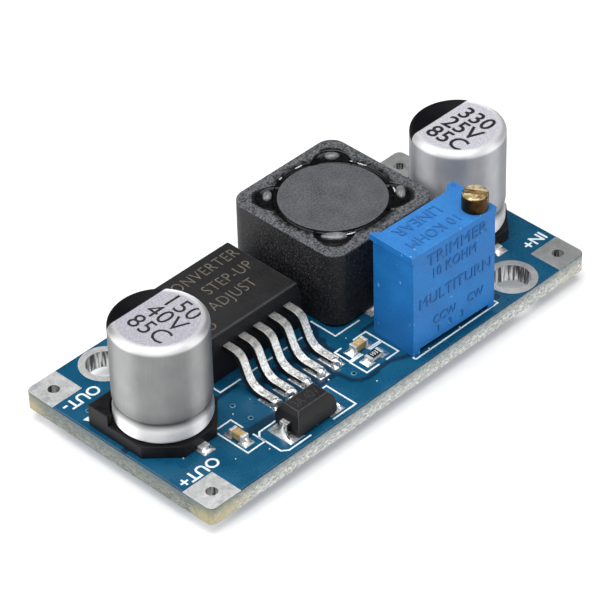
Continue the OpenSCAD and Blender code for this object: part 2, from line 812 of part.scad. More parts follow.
// The middle of a chip that lies along X, between its metal ends
module chip_middle(height) {
  block([chip_end - chip_length / 2, chip_end_lip - chip_width / 2, seat + chip_end_lip],
    [chip_length / 2 - chip_end, chip_width / 2 - chip_end_lip, seat + height - chip_end_lip]);
}

module chip_ends(height) {
  for (side = [-1, 1]) scale([side, 1, 1])
    block([chip_length / 2 - chip_end, -chip_width / 2, seat],
      [chip_length / 2, chip_width / 2, seat + height]);
}

module output_chip_body() {
  color("#b08a5e") translate([output_chip_x, output_chip_y, 0]) rotate([0, 0, 90])
    chip_middle(chip_capacitor_height);
}

module output_chip_ends() {
  color("#d0d1d1") translate([output_chip_x, output_chip_y, 0]) rotate([0, 0, 90])
    chip_ends(chip_capacitor_height);
}

module pair_capacitor_body() {
  color("#b08a5e") translate([pair_x, pair_capacitor_y, 0]) chip_middle(chip_capacitor_height);
}

module pair_capacitor_ends() {
  color("#d0d1d1") translate([pair_x, pair_capacitor_y, 0]) chip_ends(chip_capacitor_height);
}

module resistor_body() {
  color("#d9d7cf") translate([pair_x, pair_resistor_y, 0])
    chip_middle(chip_resistor_height - resistor_coat);
}

module resistor_coat_layer() {
  level = seat + chip_resistor_height - resistor_coat - chip_end_lip;
  color("#1c1c1e") translate([pair_x, pair_resistor_y, level])
    block([chip_end - chip_length / 2, chip_end_lip - chip_width / 2, 0],
      [chip_length / 2 - chip_end, chip_width / 2 - chip_end_lip, resistor_coat]);
}

module resistor_ends() {
  color("#d0d1d1") translate([pair_x, pair_resistor_y, 0]) chip_ends(chip_resistor_height);
}

circuit_board();
wire_pads();
mounting_rings();
copper_lands();
output_can();
output_base();
output_leads();
input_can();
input_base();
input_leads();
regulator_body();
regulator_tab();
regulator_leads();
inductor_shield();
inductor_core();
inductor_winding();
inductor_glue();
inductor_terminals();
trimmer_housing();
trimmer_resin();
trimmer_pins();
trimmer_screw();
pin_solder();
diode_body();
diode_leads();
output_chip_body();
output_chip_ends();
pair_capacitor_body();
pair_capacitor_ends();
resistor_body();
resistor_coat_layer();
resistor_ends();
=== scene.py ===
import math
from functools import partial
from types import SimpleNamespace

import bmesh
import bpy
import numpy as np
from mathutils import Matrix, Vector


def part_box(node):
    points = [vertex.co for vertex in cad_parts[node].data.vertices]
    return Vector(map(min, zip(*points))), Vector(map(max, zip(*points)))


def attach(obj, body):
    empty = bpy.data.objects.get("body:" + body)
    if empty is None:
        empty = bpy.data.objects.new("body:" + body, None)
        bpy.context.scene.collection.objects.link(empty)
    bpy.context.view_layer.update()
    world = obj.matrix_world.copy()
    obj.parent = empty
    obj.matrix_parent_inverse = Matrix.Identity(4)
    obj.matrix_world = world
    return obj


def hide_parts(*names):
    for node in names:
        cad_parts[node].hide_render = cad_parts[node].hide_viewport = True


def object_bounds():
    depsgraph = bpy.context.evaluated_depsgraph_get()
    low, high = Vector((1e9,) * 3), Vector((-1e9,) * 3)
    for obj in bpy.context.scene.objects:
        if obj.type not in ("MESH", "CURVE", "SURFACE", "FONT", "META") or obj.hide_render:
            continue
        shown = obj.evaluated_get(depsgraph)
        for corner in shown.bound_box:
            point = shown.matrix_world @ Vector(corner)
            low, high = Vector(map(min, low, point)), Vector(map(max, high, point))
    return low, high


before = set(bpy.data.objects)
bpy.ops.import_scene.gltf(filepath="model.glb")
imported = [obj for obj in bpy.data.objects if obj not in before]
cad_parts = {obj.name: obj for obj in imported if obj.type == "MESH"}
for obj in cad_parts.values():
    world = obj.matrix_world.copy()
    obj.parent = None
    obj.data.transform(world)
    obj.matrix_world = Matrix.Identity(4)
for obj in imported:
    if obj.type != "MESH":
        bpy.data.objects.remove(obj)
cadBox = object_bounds()
mm = 0.001  # sizes below are in millimetres, and become metres where a mesh is made
chance = np.random.default_rng(11)  # one seeded source for every uneven line
print("frame loaded,", len(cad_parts), "nodes")


# Small helpers for colour, nodes and meshes

def linear(hexText):
    # sRGB hex to linear light, channel by channel
    channel = np.array([int(hexText[i:i + 2], 16) for i in (1, 3, 5)]) / 255
    light = np.where(channel <= 0.04045, channel / 12.92, ((channel + 0.055) / 1.055) ** 2.4)
    return (*light.tolist(), 1.0)


def addNode(tree, kind, *values, out=None, **settings):
    # values go to the node's live inputs in order: a socket is linked, a hex colour is turned to light, None
    # leaves an input as it is, and any other value is set; only a mix is ever given colours
    node = tree.nodes.new("ShaderNode" + kind)
    if any(isinstance(value, (str, bpy.types.NodeSocketColor)) for value in values):
        node.data_type = "RGBA"
    for name, value in settings.items():
        setattr(node, name, value)
    live = [socket for socket in node.inputs if socket.enabled]
    for socket, value in zip(live, values):
        if isinstance(value, bpy.types.NodeSocket):
            tree.links.new(value, socket)
        elif value is not None:
            socket.default_value = linear(value) if isinstance(value, str) else value
    return node.outputs[out] if out else [socket for socket in node.outputs if socket.enabled][0]


def wire(look, sockets):
    # what feeds the shader's own sockets
    for name, source in sockets.items():
        look.tree.links.new(source, look.shader.inputs[name])
    return look.material


noiseSpan = (0.36, 0.64)  # most of a noise's values lie between these


def mottledMaterial(name, fixed, tones, patch, grain, fine, gloss, relief, stretch=(1, 1, 1)):
    # two tones mixed by wide patches and fine grain; the grain also moves gloss and surface
    material = bpy.data.materials.new(name)
    material.use_nodes = True
    tree = material.node_tree
    shader = tree.nodes["Principled BSDF"]
    for socket, value in fixed.items():
        shader.inputs[socket].default_value = value
    add = partial(addNode, tree)
    place = add("TexCoord", out="Object")
    wide = add("TexNoise", place, 1 / (patch * mm), 3.0)
    small = add("TexNoise", add("Mapping", place, None, None, stretch), 1 / (grain * mm), 2.0)
    mixed = add("Mix", fine, wide, small)
    colour = add("Mix", add("MapRange", mixed, *noiseSpan), *tones)
    shine = add("MapRange", mixed, *noiseSpan, *gloss)
    raised = add("Bump", None, relief * mm, None, small)
    look = SimpleNamespace(material=material, tree=tree, shader=shader, add=add, place=place, colour=colour,
                           gloss=shine, grain=small, patch=wide)
    wire(look, {"Base Color": colour, "Roughness": shine, "Normal": raised})
    return look


def passed(look, axis, start, end, most=1.0):
    # how far a point has come along an axis from one level to another, as a share up to most
    level = look.add("SeparateXYZ", look.place, out=axis)
    return look.add("MapRange", level, start * mm, end * mm, 0, most)


def fromAxis(look, box):
    # each point seen from above, from the middle of a box, and how far that is
    x, y = (box[0] + box[1])[:2] / 2 * mm
    flat = look.add("Mapping", look.place, (-x, -y, 0), None, (1, 1, 0))
    return flat, look.add("VectorMath", flat, operation="LENGTH")


def onFace(look, depth):
    # 1 on both faces of the board and this deep below them, 0 between
    height = look.add("SeparateXYZ", look.place, out="Z")
    fromMiddle = look.add("Math", height, boardTop / 2 * mm, operation="SUBTRACT")
    away = look.add("Math", fromMiddle, operation="ABSOLUTE")
    return look.add("Math", away, (boardTop / 2 - depth) * mm, operation="GREATER_THAN")


def gridFaces(rows, columns, closedRows=False, closedColumns=False):
    # one quad between each four neighbours of a grid of points, wrapped where the grid is closed
    i = np.arange(rows if closedRows else rows - 1)
    j = np.arange(columns if closedColumns else columns - 1)
    i, j = np.meshgrid(i, j, indexing="ij")
    nextI = (i + 1) % rows
    nextJ = (j + 1) % columns
    corners = [i * columns + j, nextI * columns + j, nextI * columns + nextJ, i * columns + nextJ]
    return np.stack(corners, -1).reshape(-1, 4).tolist()


def finishMesh(mesh, crease):
    # seams and poles closed, faces turned outwards, edges sharper than the crease angle kept sharp
    work = bmesh.new()
    work.from_mesh(mesh)
    bmesh.ops.remove_doubles(work, verts=work.verts, dist=1e-7)
    bmesh.ops.recalc_face_normals(work, faces=work.faces)
    work.to_mesh(mesh)
    work.free()
    mesh.shade_smooth()
    mesh.set_sharp_from_angle(angle=math.radians(crease))


def addPiece(name, mesh, materials, body="module"):
    for material in materials:
        mesh.materials.append(material)
    piece = bpy.data.objects.new(name, mesh)
    bpy.context.scene.collection.objects.link(piece)
    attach(piece, body)
    return piece


def makePiece(name, parts, material, crease=40):
    # several (points, faces) parts joined into one mesh
    points = []
    faces = []
    for partPoints, partFaces in parts:
        start = len(points)
        points += (np.asarray(partPoints).reshape(-1, 3) * mm).tolist()
        faces += [[start + index for index in face] for face in partFaces]
    mesh = bpy.data.meshes.new(name)
    mesh.from_pydata(points, [], faces)
    finishMesh(mesh, crease)
    return addPiece(name, mesh, [material])


sharpEdge = math.radians(35)  # a corner that turns more than this is rounded


def softenedCopy(node, name, materials, bevel, segments=2, body="module"):
    # the node's own mesh with flat facets joined and a small round on each sharp edge; a second material,
    # where there is one, goes on the rounds
    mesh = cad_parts[node].data.copy()
    mesh.materials.clear()
    work = bmesh.new()
    work.from_mesh(mesh)
    bmesh.ops.remove_doubles(work, verts=work.verts, dist=2e-7)
    bmesh.ops.dissolve_limit(work, angle_limit=math.radians(0.4), verts=work.verts, edges=work.edges)
    work.to_mesh(mesh)
    work.free()
    mesh.shade_smooth()
    mesh.set_sharp_from_angle(angle=sharpEdge)
    piece = addPiece(name, mesh, materials, body)
    rounding = piece.modifiers.new("edgeRound", "BEVEL")
    rounding.width = bevel * mm
    rounding.segments = segments
    rounding.limit_method = "ANGLE"
    rounding.angle_limit = sharpEdge
    rounding.harden_normals = True
    if len(materials) > 1:
        rounding.material = 1
    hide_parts(node)


def paintSolid(node, material):
    # a hidden solid keeps its mesh and only gets a finish
    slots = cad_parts[node].data.materials
    slots.clear()
    slots.append(material)


def nodeBox(node):
    low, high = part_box(node)
    return np.array(low) / mm, np.array(high) / mm


boardLow, boardHigh = nodeBox("circuit_board")
boardTop = boardHigh[2]
seat = nodeBox("copper_lands")[1][2]  # upper face of the copper, where the parts stand


# Camera, floor and light

viewing = {"azimuth": -44.78, "elevation": 38.72, "roll": -1.57, "distance": 285.9,
           "target": (-0.87, 0.33, 4.0), "lens": 213.5, "sensor": 36.0}


def placeCamera(view):
    turn, lift, lean = (math.radians(view[key]) for key in ("azimuth", "elevation", "roll"))
    back = Vector((math.sin(turn) * math.cos(lift), -math.cos(turn) * math.cos(lift), math.sin(lift)))
    right = Vector((math.cos(turn), math.sin(turn), 0))
    up = back.cross(right)
    leanRight = right * math.cos(lean) + up * math.sin(lean)
    leanUp = up * math.cos(lean) - right * math.sin(lean)
    camera = bpy.data.cameras.new("photoCamera")
    camera.lens = view["lens"]
    camera.sensor_width = view["sensor"]
    camera.clip_start = 0.01
    holder = bpy.data.objects.new("photoCamera", camera)
    matrix = Matrix((leanRight, leanUp, back)).transposed().to_4x4()
    matrix.translation = (Vector(view["target"]) + back * view["distance"]) * mm
    holder.matrix_world = matrix
    bpy.context.scene.collection.objects.link(holder)
    bpy.context.scene.camera = holder


placeCamera(viewing)

softboxes = [
    {"name": "overhead", "place": (-25, 15, 430), "size": 460, "watts": 2.6},
    {"name": "frontTop", "place": (-150, -150, 339), "size": 150, "watts": 0.14},
    {"name": "leftStrip", "place": (-318, 232, 190), "size": 400, "watts": 1.15},
    {"name": "rightStrip", "place": (243, -342, 150), "size": 300, "watts": 0.68},
]


def placeSoftbox(box):
    lamp = bpy.data.lights.new(box["name"], "AREA")
    lamp.shape = "SQUARE"
    lamp.size = box["size"] * mm
    lamp.energy = box["watts"]
    holder = bpy.data.objects.new(box["name"], lamp)
    place = Vector(box["place"]) * mm
    holder.location = place
    holder.rotation_euler = place.to_track_quat("Z", "Y").to_euler()
    bpy.context.scene.collection.objects.link(holder)


for box in softboxes:
    placeSoftbox(box)

room = bpy.data.worlds.new("studioRoom")
room.use_nodes = True
sky = room.node_tree.nodes["Background"].inputs
sky["Color"].default_value = linear("#f4f6f8")
sky["Strength"].default_value = 0.08
bpy.context.scene.world = room
bpy.context.scene.view_settings.view_transform = "Standard"

# White paper lit a little from below: nearly no colour, only the faintest cloudiness
floorLook = {"name": "whitePaper", "tones": ("#d8d8d8", "#dfdfdf"),
             "fixed": {"IOR": 1.45, "Emission Color": linear("#ffffff"), "Emission Strength": 0.25},
             "patch": 60.0, "grain": 1.2, "fine": 0.3, "gloss": (0.85, 0.95), "relief": 0.01}
floorWave = {"size": 2400, "count": 25, "below": 0.02}


def layFloor(look, wave):
    # a wide square grid just under the lowest pin
    side = np.linspace(-wave["size"] / 2, wave["size"] / 2, wave["count"])
    x, y = np.meshgrid(side, side, indexing="ij")
    z = np.full_like(x, cadBox[0][2] / mm - wave["below"])
    mesh = bpy.data.meshes.new("paperFloor")
    points = np.stack([x, y, z], -1).reshape(-1, 3) * mm
    mesh.from_pydata(points.tolist(), [], gridFaces(wave["count"], wave["count"]))
    mesh.materials.append(mottledMaterial(**look).material)
    floor = bpy.data.objects.new("paperFloor", mesh)
    bpy.context.scene.collection.objects.link(floor)


layFloor(floorLook, floorWave)
print("camera, lights and floor placed")


# Finishes

def platingMaterial():
    # Hot-air levelled tin on copper: bright grey, cloudy where it froze, tarnished towards the input end;
    # the drilled walls keep upright tool marks, whose reflections are painted as dark streaks beside bright
    look = mottledMaterial("tinnedCopper", {"Metallic": 0.8}, ("#bebfc0", "#d6d6d5"), patch=0.9, grain=0.2,
                           fine=0.6, gloss=(0.42, 0.6), relief=0.01)
    add = look.add
    upright = add("Mapping", look.place, None, None, (1, 1, 0.08))
    # upright tool marks on the drilled walls, with a painted reflection of dark and bright streaks
    drilled = add("TexNoise", upright, 1 / (0.16 * mm), 2.0)
    wall = add("Mix", add("MapRange", drilled, 0.42, 0.6), "#56585a", "#f2f2f0")
    face = add("Mix", passed(look, "X", 12, 20, 0.6), look.colour, "#747677")
    return wire(look, {"Base Color": add("Mix", onFace(look, 0.02), wall, face)})


def strapMaterial(name, node, across, rootDarkening):
    # Tinned copper strip sheared from sheet: bright speckled faces, darker towards the root, and dark sheared
    # sides, which face along the axis across
    look = mottledMaterial(name, {"Metallic": 0.75}, ("#a9a9a6", "#fcfcfa"), patch=0.5, grain=0.13, fine=0.75,
                           gloss=(0.32, 0.56), relief=0.012, stretch=(1, 0.7, 0.7))
    add = look.add
    root = nodeBox(node)[1][2]
    sideways = add("SeparateXYZ", add("TexCoord", out="Normal"), out=across)
    sheared = add("MapRange", add("Math", sideways, operation="ABSOLUTE"), 0.5, 0.85)
    rootDarkened = add("Mix", passed(look, "Z", root - 0.9, root - 0.1, rootDarkening), look.colour, "#6f6e6c")
    return wire(look, {"Base Color": add("Mix", sheared, rootDarkened, "#3b3b3d")})


tinnedPad = platingMaterial()
strapTin = strapMaterial("shearedTinStrap", "regulator_leads", "X", 0.75)
foldedTin = strapMaterial("foldedTinStrap", "diode_leads", "Y", 0.15)

# Matt tin on rolled copper leads: pale satin, faintly drawn along the strip
leadTin = mottledMaterial(
    "mattTinPlate", {"Metallic": 0.85}, ("#d2d2cf", "#f0f0ed"), patch=0.7, grain=0.12, fine=0.5,
    gloss=(0.42, 0.6), relief=0.006, stretch=(1, 0.35, 0.35)).material

# Solder that froze smooth: almost a mirror, a little frosted in places
solder = mottledMaterial(
    "frozenSolder", {"Metallic": 1.0}, ("#cfd1d3", "#f5f4f1"), patch=0.5, grain=0.2, fine=0.5,
    gloss=(0.24, 0.46), relief=0.012).material

# Transfer-moulded epoxy full of silica: charcoal, fine matt grain
epoxy = mottledMaterial(
    "mouldedEpoxy", {"Specular IOR Level": 0.35}, ("#0d0d0f", "#19191b"), patch=1.6, grain=0.14, fine=0.65,
    gloss=(0.5, 0.68), relief=0.01).material

# The same compound ground pale along its edges by handling
wornEpoxy = mottledMaterial(
    "rubbedEpoxyEdge", {}, ("#1f1f22", "#343437"), patch=0.8, grain=0.14, fine=0.6, gloss=(0.44, 0.6),
    relief=0.008).material

# High-temperature nylon of the capacitor bases: black, slightly waxy
baseNylon = mottledMaterial(
    "blackNylon", {"Specular IOR Level": 0.25}, ("#0e0e10", "#19191b"), patch=1.2, grain=0.2, fine=0.4,
    gloss=(0.38, 0.54), relief=0.008).material

# Black potting glue, cured wet-looking
pottingGlue = mottledMaterial(
    "curedBlackGlue", {"Specular IOR Level": 0.22}, ("#050506", "#101011"), patch=0.8, grain=0.25, fine=0.4,
    gloss=(0.14, 0.3), relief=0.02).material

# Drops of glue: mid grey, milky and shiny
milkyGlue = mottledMaterial(
    "milkyGlueDrop", {"Coat Weight": 0.25, "Coat Roughness": 0.2}, ("#4b4c4f", "#828386"), patch=0.6,
    grain=0.14, fine=0.5, gloss=(0.28, 0.42), relief=0.015).material

# Threads of the same clear glue: thin, painted almost white as glints of light
paintedGlintThread = mottledMaterial(
    "clearGlueThreadPaintedGlint", {"Coat Weight": 0.6, "Coat Roughness": 0.08}, ("#8e8f91", "#ececea"), patch=0.4,
    grain=0.12, fine=0.5, gloss=(0.18, 0.3), relief=0.01).material

# Enamelled copper wire: amber brown varnish on metal
enamelledWire = mottledMaterial(
    "enamelledCopper", {"Metallic": 0.8, "Coat Weight": 0.7, "Coat Roughness": 0.1}, ("#6e3418", "#a55a2c"),
    patch=0.7, grain=0.3, fine=0.5, gloss=(0.25, 0.4), relief=0.01).material

# Sealing epoxy under the trimmer: cloudy blue grey
sealResin = mottledMaterial(
    "castSealResin", {"IOR": 1.52}, ("#4c5a63", "#74828a"), patch=1.1, grain=0.3, fine=0.4,
    gloss=(0.25, 0.45), relief=0.015).material

# Fired barium titanate: warm tan, dull
chipCeramic = mottledMaterial(
    "firedCeramic", {"IOR": 1.6}, ("#94794a", "#c4aa77"), patch=0.7, grain=0.15, fine=0.4,
    gloss=(0.4, 0.58), relief=0.008).material

# White alumina of the resistor
alumina = mottledMaterial(
    "sinteredAlumina", {"IOR": 1.7}, ("#d3d1ca", "#eeece6"), patch=0.5, grain=0.14, fine=0.5,
    gloss=(0.45, 0.6), relief=0.006).material

# Glassy black overcoat of the resistor
resistorCoat = mottledMaterial(
    "blackGlaze", {}, ("#151517", "#232326"), patch=0.5, grain=0.15, fine=0.4, gloss=(0.2, 0.36),
    relief=0.006).material

# Screen-printed white legend ink: chalky, thin at its edges
legendInk = mottledMaterial(
    "whiteLegendInk", {}, ("#c4d3da", "#eef3f4"), patch=0.6, grain=0.18, fine=0.6, gloss=(0.5, 0.7),
    relief=0.006).material

# Lacquer stretched thin over the via rings: pale blue where the copper shows through
viaLacquer = mottledMaterial(
    "thinLacquer", {}, ("#2c6688", "#79a6bd"), patch=0.3, grain=0.12, fine=0.4, gloss=(0.22, 0.34),
    relief=0.004).material

# The same lacquer sunk into the via holes: almost black
viaPlug = mottledMaterial(
    "sunkLacquer", {}, ("#061019", "#0b1d2b"), patch=0.3, grain=0.12, fine=0.4, gloss=(0.3, 0.45),
    relief=0.004).material

# Stamped black ink on the cans
canInk = mottledMaterial(
    "blackStampInk", {}, ("#0c0c0e", "#1a1a1d"), patch=0.7, grain=0.2, fine=0.5, gloss=(0.4, 0.55),
    relief=0.004).material

# Laser marking on epoxy: the burnt skin turns a dull pale brown
laserMark = mottledMaterial(
    "laserBurntEpoxy", {}, ("#48433b", "#736b60"), patch=0.4, grain=0.12, fine=0.6, gloss=(0.7, 0.85),
    relief=0.008).material


def screwMaterial(box):
    # Turned brass: the end and its slot are rubbed bright between spots of dirt; the side is painted dark
    # brown as shade
    look = mottledMaterial("turnedBrass", {"Metallic": 1.0}, ("#2a1e10", "#553d21"), patch=0.5, grain=0.12,
                           fine=0.5, gloss=(0.32, 0.5), relief=0.006, stretch=(0.25, 0.25, 1))
    add = look.add
    radius = (box[1][0] - box[0][0]) / 2
    # the end takes the bright brass; everything else keeps the dark brown painted shade
    end = add("MapRange", fromAxis(look, box)[1], (radius - 0.02) * mm, (radius - 0.08) * mm)
    rubbed = add("Mix", add("MapRange", look.grain, 0.6, 0.4), "#ecdcb4", "#8a7346")
    return wire(look, {"Base Color": add("Mix", end, look.colour, rubbed),
                       "Roughness": add("Mix", end, look.gloss, 0.55)})


def trimmerMaterial(name, tones):
    # Moulded polyester: clear mid blue with a soft sheen, a few pale specks, and a thin grey painted sheen on
    # what faces up
    look = mottledMaterial(name, {"Specular IOR Level": 0.3}, tones, patch=2.2, grain=0.2, fine=0.45,
                           gloss=(0.46, 0.6), relief=0.008)
    add = look.add
    dust = add("TexNoise", look.place, 1 / (0.4 * mm), 0.0)
    dusted = add("Mix", add("MapRange", dust, 0.8, 0.86, 0, 0.45), look.colour, "#9cc6ee")
    # painted sheen: faces turned up are greyed
    upward = add("SeparateXYZ", add("TexCoord", out="Normal"), out="Z")
    paintedTopSheen = add("Mix", add("MapRange", upward, 0.6, 0.95, 0, 0.07), dusted, "#90918a")
    return wire(look, {"Base Color": paintedTopSheen})


screwBrass = screwMaterial(nodeBox("trimmer_screw"))
trimmerBlue = trimmerMaterial("blueMouldedPolyester", ("#0d66ae", "#1877c0"))
wornBlue = trimmerMaterial("rubbedBlueEdge", ("#247cc6", "#438fd2"))
# the raised figures take a darker copy of the same blue: painted shade
shadedReliefBlue = trimmerMaterial("blueReliefWithPaintedShade", ("#0a5796", "#1264a8"))

smear = {"ring": 5.3, "pocketAt": 4.95, "pocketLong": 1.72, "pocketWide": 1.5, "tear": 0.45, "ragged": 0.26,
         "soft": 0.05}


def shieldMaterial(box, smear):
    # Sintered ferrite: near-black sides with painted glints and a paler ground rim, with black glue smeared
    # on the rim: inside a ring round the well and inside an oval on each diagonal, both with a ragged edge
    look = mottledMaterial("sinteredFerrite", {"IOR": 1.6, "Specular IOR Level": 0.35},
                           ("#0a0a0c", "#1a1a1c"), patch=1.1, grain=0.15, fine=0.8, gloss=(0.5, 0.72),
                           relief=0.025)
    add = look.add
    flat, radius = fromAxis(look, box)
    folded = add("VectorMath", flat, operation="ABSOLUTE")
    slant = math.sqrt(0.5)
    along = add("VectorMath", folded, (slant, slant, 0), operation="DOT_PRODUCT")
    beside = add("VectorMath", folded, (slant, -slant, 0), operation="DOT_PRODUCT")
    oval = add("Mapping", add("CombineXYZ", along, beside), (-smear["pocketAt"] / smear["pocketLong"], 0, 0),
               None, (1 / (smear["pocketLong"] * mm), 1 / (smear["pocketWide"] * mm), 1))
    pocketWay = add("VectorMath", oval, operation="LENGTH")
    ringWay = add("Math", radius, smear["ring"] * mm, operation="DIVIDE")
    within = add("Math", pocketWay, ringWay, operation="MINIMUM")
    ragged = add("TexNoise", look.place, 1 / (smear["tear"] * mm), 4.0)
    torn = add("MapRange", ragged, 0, 1, -smear["ragged"] / 2, smear["ragged"] / 2)
    edge = add("Math", within, torn, operation="ADD")
    glued = add("MapRange", edge, 1 + smear["soft"], 1 - smear["soft"])
    top = box[1][2]
    ground = passed(look, "Z", top - 0.16, top - 0.08)
    rim = add("Mix", add("MapRange", look.grain, *noiseSpan), "#1f2022", "#66676b")
    # painted glints: pale flecks on the dark sides
    sides = add("Mix", add("MapRange", look.grain, 0.56, 0.74), look.colour, "#4e4e53")
    colour = add("Mix", ground, sides, add("Mix", glued, rim, "#0b0b0c"))
    wet = add("Math", glued, ground, operation="MULTIPLY")
    return wire(look, {"Base Color": colour, "Roughness": add("Mix", wet, look.gloss, 0.3)})


def coreMaterial(top):
    # The core's ground upper face: even mid grey, faintly clouded; its sides stay dark
    look = mottledMaterial("groundFerrite", {"IOR": 1.6}, ("#19191b", "#2c2c2f"), patch=1.8, grain=0.16,
                           fine=0.6, gloss=(0.48, 0.62), relief=0.012)
    add = look.add
    clouds = add("Mix", 0.7, look.patch, look.grain)
    face = add("Mix", add("MapRange", clouds, 0.35, 0.65), "#35363a", "#55565a")
    ground = passed(look, "Z", top - 0.1, top - 0.03)
    return wire(look, {"Base Color": add("Mix", ground, look.colour, face)})


def laminateMaterial():
    # Glass cloth in epoxy, routed: grey with short broken fibres and white flecks, yellowed in blotches by
    # the tool at the corners, blue-grey towards its upper edge, with painted shade on both end faces;
    # the board's upper and lower faces carry the lacquer's blue
    look = mottledMaterial("routedGlassLaminate", {}, ("#8b8f8b", "#dfe1dd"), patch=0.7, grain=0.11, fine=0.8,
                           gloss=(0.6, 0.85), relief=0.03, stretch=(0.26, 0.26, 1))
    add = look.add
    spread = add("Mapping", look.place, None, None, (1 / (boardHigh[0] * mm), 1 / (boardHigh[1] * mm), 0))
    corner = add("VectorMath", spread, operation="LENGTH")
    blotch = add("TexNoise", look.place, 1 / (0.5 * mm), 3.0)
    reach = add("Math", corner, add("MapRange", blotch, 0, 1, -0.1, 0.1), operation="ADD")
    aged = add("MapRange", reach, 1.25, 1.36, 0, 0.75)
    lengthwise = add("SeparateXYZ", spread, out="X")
    scorched = add("MapRange", lengthwise, 0.5, -0.5, 0.3)
    yellowed = add("Math", aged, scorched, operation="MULTIPLY")
    # painted shade: both end faces darker than the long sides
    farOut = add("Math", lengthwise, operation="ABSOLUTE")
    paintedShadeEnds = add("Math", farOut, 0.997, operation="GREATER_THAN")
    flecks = add("TexNoise", look.place, 1 / (0.16 * mm), 1.0)
    fibres = add("Mix", add("MapRange", flecks, 0.58, 0.7, 0, 0.8), look.colour, "#f3f4f1")
    grey = add("Mix", paintedShadeEnds, fibres, "#a6aaa6", blend_type="MULTIPLY")
    beige = add("Mix", yellowed, grey, "#b9ad7f")
    height = add("SeparateXYZ", look.place, out="Z")
    wander = add("MapRange", blotch, 0, 1, -0.35 * mm, 0.35 * mm)
    level = add("Math", height, wander, operation="ADD")
    # blue-grey coming in up the edge
    upperEdgeGreying = add("MapRange", level, boardTop * 0.4 * mm, boardTop * mm, 0, 0.75)
    side = add("Mix", upperEdgeGreying, beige, "#56686f")
    lacquer = add("Mix", look.patch, "#07344c", "#0a435f")
    faces = onFace(look, 0.012)
    return wire(look, {"Base Color": add("Mix", faces, side, lacquer),
                       "Roughness": add("Mix", faces, look.gloss, 0.32)})


def maskMaterial():
    # Blue solder mask: a glossy lacquer, lighter over copper and nearly navy over bare laminate
    look = mottledMaterial("blueSolderMask", {}, ("#074766", "#0b5171"), patch=2.5, grain=0.24, fine=0.2,
                           gloss=(0.2, 0.34), relief=0.002)
    cover = look.add("Attribute", out="Fac", attribute_name="copperCover")
    return wire(look, {"Base Color": look.add("Mix", cover, "#062d43", look.colour)})


inductorBox = nodeBox("inductor_shield")
shieldFerrite = shieldMaterial(inductorBox, smear)
coreFerrite = coreMaterial(nodeBox("inductor_core")[1][2])
boardMask = maskMaterial()
boardLaminate = laminateMaterial()
print("finishes made,", len(bpy.data.materials), "materials")


# Shapes that several pieces use

def fullTurn(count):
    # angles spread evenly round a circle, in a column
    return np.linspace(0, 2 * np.pi, count, endpoint=False)[:, None]


def lathe(profile, centre, segments):
    # each (radius, height) point of the profile carried round a vertical axis
    turn = fullTurn(segments)
    radius, height = np.asarray(profile).T
    x = centre[0] + radius * np.cos(turn)
    y = centre[1] + radius * np.sin(turn)
    z = np.broadcast_to(height, x.shape)
    return np.stack([x, y, z], -1), gridFaces(segments, len(radius), closedRows=True)


def lowRing(inner, outer, low, high, slopeIn, slopeOut):
    # section of a flat ring with sloping sides, closed
    return [(inner, low), (inner + slopeIn, high), (outer - slopeOut, high), (outer, low), (inner, low)]


def ribbon(path, width, low, high):
    # a flat strip with sloping sides along a path of corners, each corner mitred
    path = np.asarray(path, float)
    along = np.diff(path, axis=0)
    along /= np.linalg.norm(along, axis=1)[:, None]
    side = np.stack([-along[:, 1], along[:, 0]], -1)
    before = np.vstack([side[:1], side])
    after = np.vstack([side, side[-1:]])
    mitre = (before + after) / (1 + np.sum(before * after, 1))[:, None]
    reach = np.array([-0.5, -0.42, 0.42, 0.5]) * width
    flat = path[:, None, :] + mitre[:, None, :] * reach[None, :, None]
    z = np.broadcast_to(np.array([low, high, high, low]), flat.shape[:2])
    points = np.concatenate([flat, z[..., None]], -1)
    count = len(path)
    last = (count - 1) * 4
    caps = [[0, 1, 2, 3], [last + 3, last + 2, last + 1, last]]
    return points, gridFaces(count, 4, closedColumns=True) + caps


def lettering(text, height, place, thickness, right=(1, 0, 0), up=(0, 1, 0), bold=0.0, spacing=1.0,
              squeeze=1.0):
    # words from the built-in font, centred at place, reading along right with their tops towards up
    curve = bpy.data.curves.new("letters", "FONT")
    curve.body = text
    curve.align_x = "CENTER"
    curve.align_y = "CENTER"
    curve.space_character = spacing
    curve.resolution_u = 3
    curve.offset = bold
    curve.extrude = 0.5
    holder = bpy.data.objects.new("letters", curve)
    bpy.context.scene.collection.objects.link(holder)
    mesh = bpy.data.meshes.new_from_object(holder.evaluated_get(bpy.context.evaluated_depsgraph_get()))
    flat = np.zeros(len(mesh.vertices) * 3)
    mesh.vertices.foreach_get("co", flat)
    flat = flat.reshape(-1, 3)
    faces = [list(face.vertices) for face in mesh.polygons]
    bpy.data.objects.remove(holder)
    bpy.data.curves.remove(curve)
    bpy.data.meshes.remove(mesh)
    scale = height / 0.69  # the font's capitals are 0.69 of its size
    right, up = np.asarray(right, float), np.asarray(up, float)
    out = np.cross(right, up)
    points = (np.asarray(place) + flat[:, :1] * scale * squeeze * right + flat[:, 1:2] * scale * up
              + (flat[:, 2:] + 0.5) * thickness * out)
    return points, faces


